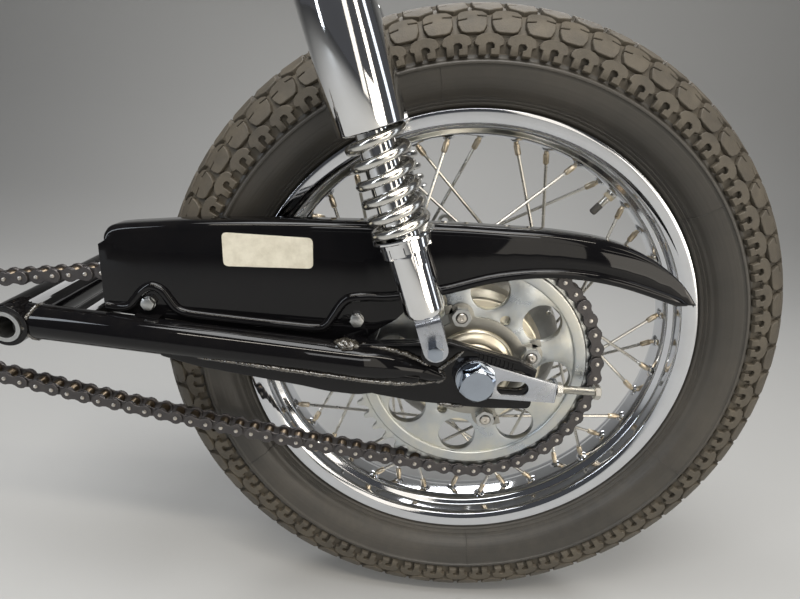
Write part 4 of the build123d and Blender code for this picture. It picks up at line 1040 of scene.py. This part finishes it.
GUARD_FACE = -95.0
GUARD_TOP = [(-352, 112), (-344, 118), (-310, 123), (-267, 128), (-173, 135), (-47, 141), (7, 142), (61, 142),
             (112, 137), (150, 124.5), (180, 105), (198, 85.5)]
GUARD_LOW = [(188, 84), (123, 99.5), (67, 103.5), (12, 95.5), (-41, 78), (-62, 72), (-71, 59), (-80, 48),
             (-94, 38), (-107, 27), (-120, 23), (-139, 21), (-152, 20), (-180, 21), (-200, 22.9),
             (-232, 25.8), (-267, 28.5), (-300, 30.7), (-330, 32.6), (-348, 34), (-357, 38), (-358, 62),
             (-358, 100)]
GUARD_RIB = [(-357, 40), (-344, 39), (-334, 41.5), (-327, 49.5), (-320, 58), (-312, 62.8), (-302, 59.5),
             (-295.5, 50.5), (-289, 42), (-280, 38.5), (-267, 37.2), (-232, 35.5), (-186, 33.8), (-156, 33.3),
             (-146, 37), (-139, 48), (-132, 60), (-124, 66), (-107, 69), (-87, 70.5), (-41, 80), (12, 97.5),
             (67, 105.5), (123, 101.5), (190, 84.5)]


def chain_guard():
    """The pressed sheet, its top edge rolled inward and fading to the tail, and its raised rib."""
    side_top, roll, lines = [], bmesh.new(), []
    for x, top in flowing(GUARD_TOP, 5):
        size, depth = 8 * held((200 - x) / 90, 0.15), 27 * held((204 - x) / 60, 0.12)
        side_top.append((x, top - size))
        section = arc(size, 90, 180, 15, GUARD_FACE + size, top - size)[::-1]
        section += [(GUARD_FACE + depth - inset, top - down)
                    for inset, down in ((2, 0.4), (0, 1.4), (0, 4.0))]
        lines.append(strung(roll, [(x, y, z) for y, z in section], closed=False)[1])
    for before, after in zip(lines, lines[1:]):
        bmesh.ops.bridge_loops(roll, edges=before + after)
    bmesh.ops.solidify(faced(roll), geom=list(roll.faces), thickness=1.1)
    sheet = plate(side_top + flowing(GUARD_LOW, 3), GUARD_FACE, GUARD_FACE + 1.2, 0.3)
    rib = flowing([(x, GUARD_FACE + 0.4, z) for x, z in GUARD_RIB], 5)
    bead = swept(rib, [1.2] + [4.8] * (len(rib) - 2) + [1.2], 16)
    whole = joined([sheet, roll, bead])
    piece("chain_guard_pressed", whole, "swingarm", [ENAMEL], ["chain_guard"], crease=40)


def guard_bolts():
    washer = rounded([(3, -95), (6.6, -95), (6.6, -95.8), (3, -95.8)], 0.4, 2)
    bolt = joined([lathed(washer, 28), hexagon(11.6, -95.8, -100.6, 8)])
    bolts = repeated(bolt, [moved(-315, 0, 46), moved(-117, 0, 45)])
    piece("guard_bolt_heads", bolts, "swingarm", [ZINC], ["guard_bolts"])


def label():
    outline = rounded([(-244, 120), (-161, 121), (-160, 92), (-243, 88)], 5, 5)
    film = plate(outline, GUARD_FACE, GUARD_FACE - 0.35, 0.12, 1)
    piece("blank_label", film, "swingarm", [LABEL_FILM], ["label"])


# What keeps its CAD shape: pieces of the swingarm with their edges eased by a width, and pieces as they are

EASED = [("pivot_tube", 0.8, ENAMEL), ("cross_tube", 0.4, ENAMEL), ("guard_brackets", 0.6, ENAMEL),
         ("brake_plate", 0.9, ALLOY), ("brake_lever", 0.8, ZINC), ("torque_rod", 0.8, ZINC),
         ("torque_bolts", 0.5, ZINC), ("torque_bracket", 0.8, ENAMEL), ("axle", 0.8, ZINC)]
KEPT = [("wheel_bearings", ZINC), ("pivot_bush", ZINC), ("axle_spacers", ZINC), ("shock_rods", CHROME)]
EASE_ANGLE = 28


def carried_over():
    for node, width, coat in EASED:
        bm = bmesh.new()
        bm.from_mesh(frame["nodes"][node].data)
        bmesh.ops.remove_doubles(bm, verts=bm.verts, dist=2e-6)
        placed(bm, IN_FRAME.inverted())
        made = piece(node + "_eased", bm, "swingarm", [coat], replaces=[node], crease=EASE_ANGLE)
        edges = made.modifiers.new("eased edges", "BEVEL")
        edges.width, edges.segments, edges.limit_method = width * 0.001, 2, "ANGLE"
        edges.angle_limit, edges.harden_normals = radians(EASE_ANGLE), True
    for node, coat in KEPT:
        slots = frame["nodes"][node].data.materials
        slots.clear()
        slots.append(coat)


# Room, lamps and camera

def room():
    """A pale sheet under the tyre that rises behind the wheel."""
    floor_z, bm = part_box("tyre")[0].z, bmesh.new()
    outline = [(-5.0, 0.0), (1.6, 0.0), (2.2, 0.16), (2.6, 0.6), (2.7, 1.2), (2.7, 4.0)]
    line = [(-6, y, floor_z + z) for y, z in rounded(outline, 0.5, 5, closed=False)]
    made = bmesh.ops.extrude_edge_only(bm, edges=strung(bm, line, closed=False)[1])["geom"]
    bmesh.ops.translate(bm, vec=(12, 0, 0), verts=vertices(made))
    mesh = as_mesh("floor_sheet", bm)
    mesh.shade_smooth()
    paper = bpy.data.materials.new("pale paper")
    paper.use_nodes = True
    shader = paper.node_tree.nodes["Principled BSDF"]
    shader.inputs["Base Color"].default_value = (0.50, 0.50, 0.49, 1)
    shader.inputs["Roughness"].default_value = 0.9
    mesh.materials.append(paper)
    floor = in_scene("floor_sheet", mesh)


def lamp(name, place, aim, width, height, watts, tint=(1.0, 1.0, 1.0)):
    light = bpy.data.lights.new(name, "AREA")
    light.shape = "RECTANGLE"
    light.size, light.size_y, light.energy, light.color = width, height, watts, tint
    made = in_scene(name, light)
    made.location = place
    made.rotation_euler = (Vector(aim) - Vector(place)).to_track_quat("-Z", "Y").to_euler()


def lamps():
    warm, cool = (1.0, 0.93, 0.82), (0.86, 0.92, 1.0)
    lamp("overhead", (0.2, -0.45, 1.9), (0.42, 0, 0), 1.7, 0.7, 30)
    lamp("side_soft", (1.6, -1.5, -0.02), (0.62, 0, -0.1), 0.9, 0.6, 5, warm)
    lamp("top_strip", (0.4, -1.0, 1.5), (0.42, 0, 0), 1.9, 0.09, 12, warm)
    lamp("left_strip", (-1.3, -1.4, 0.8), (0.3, 0, 0), 0.22, 1.8, 11, cool)
    lamp("right_strip", (1.9, -1.3, 0.68), (0.5, 0, 0), 0.30, 1.95, 8, warm)
    lamp("near_right_strip", (1.05, -2.1, 0.75), (0.45, 0, 0), 0.42, 2.1, 4, warm)
    lamp("far_right_strip", (2.2, -0.3, 0.75), (0.45, 0, 0), 0.32, 2.1, 3.6, cool)
    lamp("front_soft", (0.45, -2.3, 1.5), (0.42, 0, 0), 1.4, 0.5, 10)
    lamp("behind", (0.6, 1.9, 1.5), (0.4, 0, 0), 1.6, 0.5, 18)
    world = bpy.data.worlds.new("room light")
    world.use_nodes = True
    world.node_tree.nodes["Background"].inputs["Color"].default_value = (0.070, 0.072, 0.078, 1)
    bpy.context.scene.world = world


def camera():
    """The photograph's camera, fitted to the rim, the tyre and the chain's pins."""
    ahead, up = Vector((0.008, 0.941, -0.339)).normalized(), Vector((-0.076, 0.338, 0.938))
    right = ahead.cross(up).normalized()
    turn = Matrix((right, right.cross(ahead), -ahead)).transposed().to_4x4()
    eye = bpy.data.cameras.new("photograph")
    eye.sensor_width, eye.lens, eye.clip_start = 36.0, 25.1, 0.02
    made = in_scene("photograph", eye)
    made.matrix_world = moved(0.358, -0.588, 0.225) @ turn
    bpy.context.scene.camera = made


for build in (tyre, rim, spokes_and_nipples, valve, hub, sprocket_carrier, rear_sprocket, gearbox_sprocket,
              lock_plate, sprocket_nuts, chain, shock_absorbers, cam_rings, shock_eyes, clevises,
              lower_bolts, arms, axle_plates, arm_welds, alignment_marks, axle_nut, adjusters,
              adjuster_screws, chain_guard, guard_bolts, label, carried_over, room, lamps, camera):
    build()
bpy.context.scene.view_settings.view_transform = "Standard"
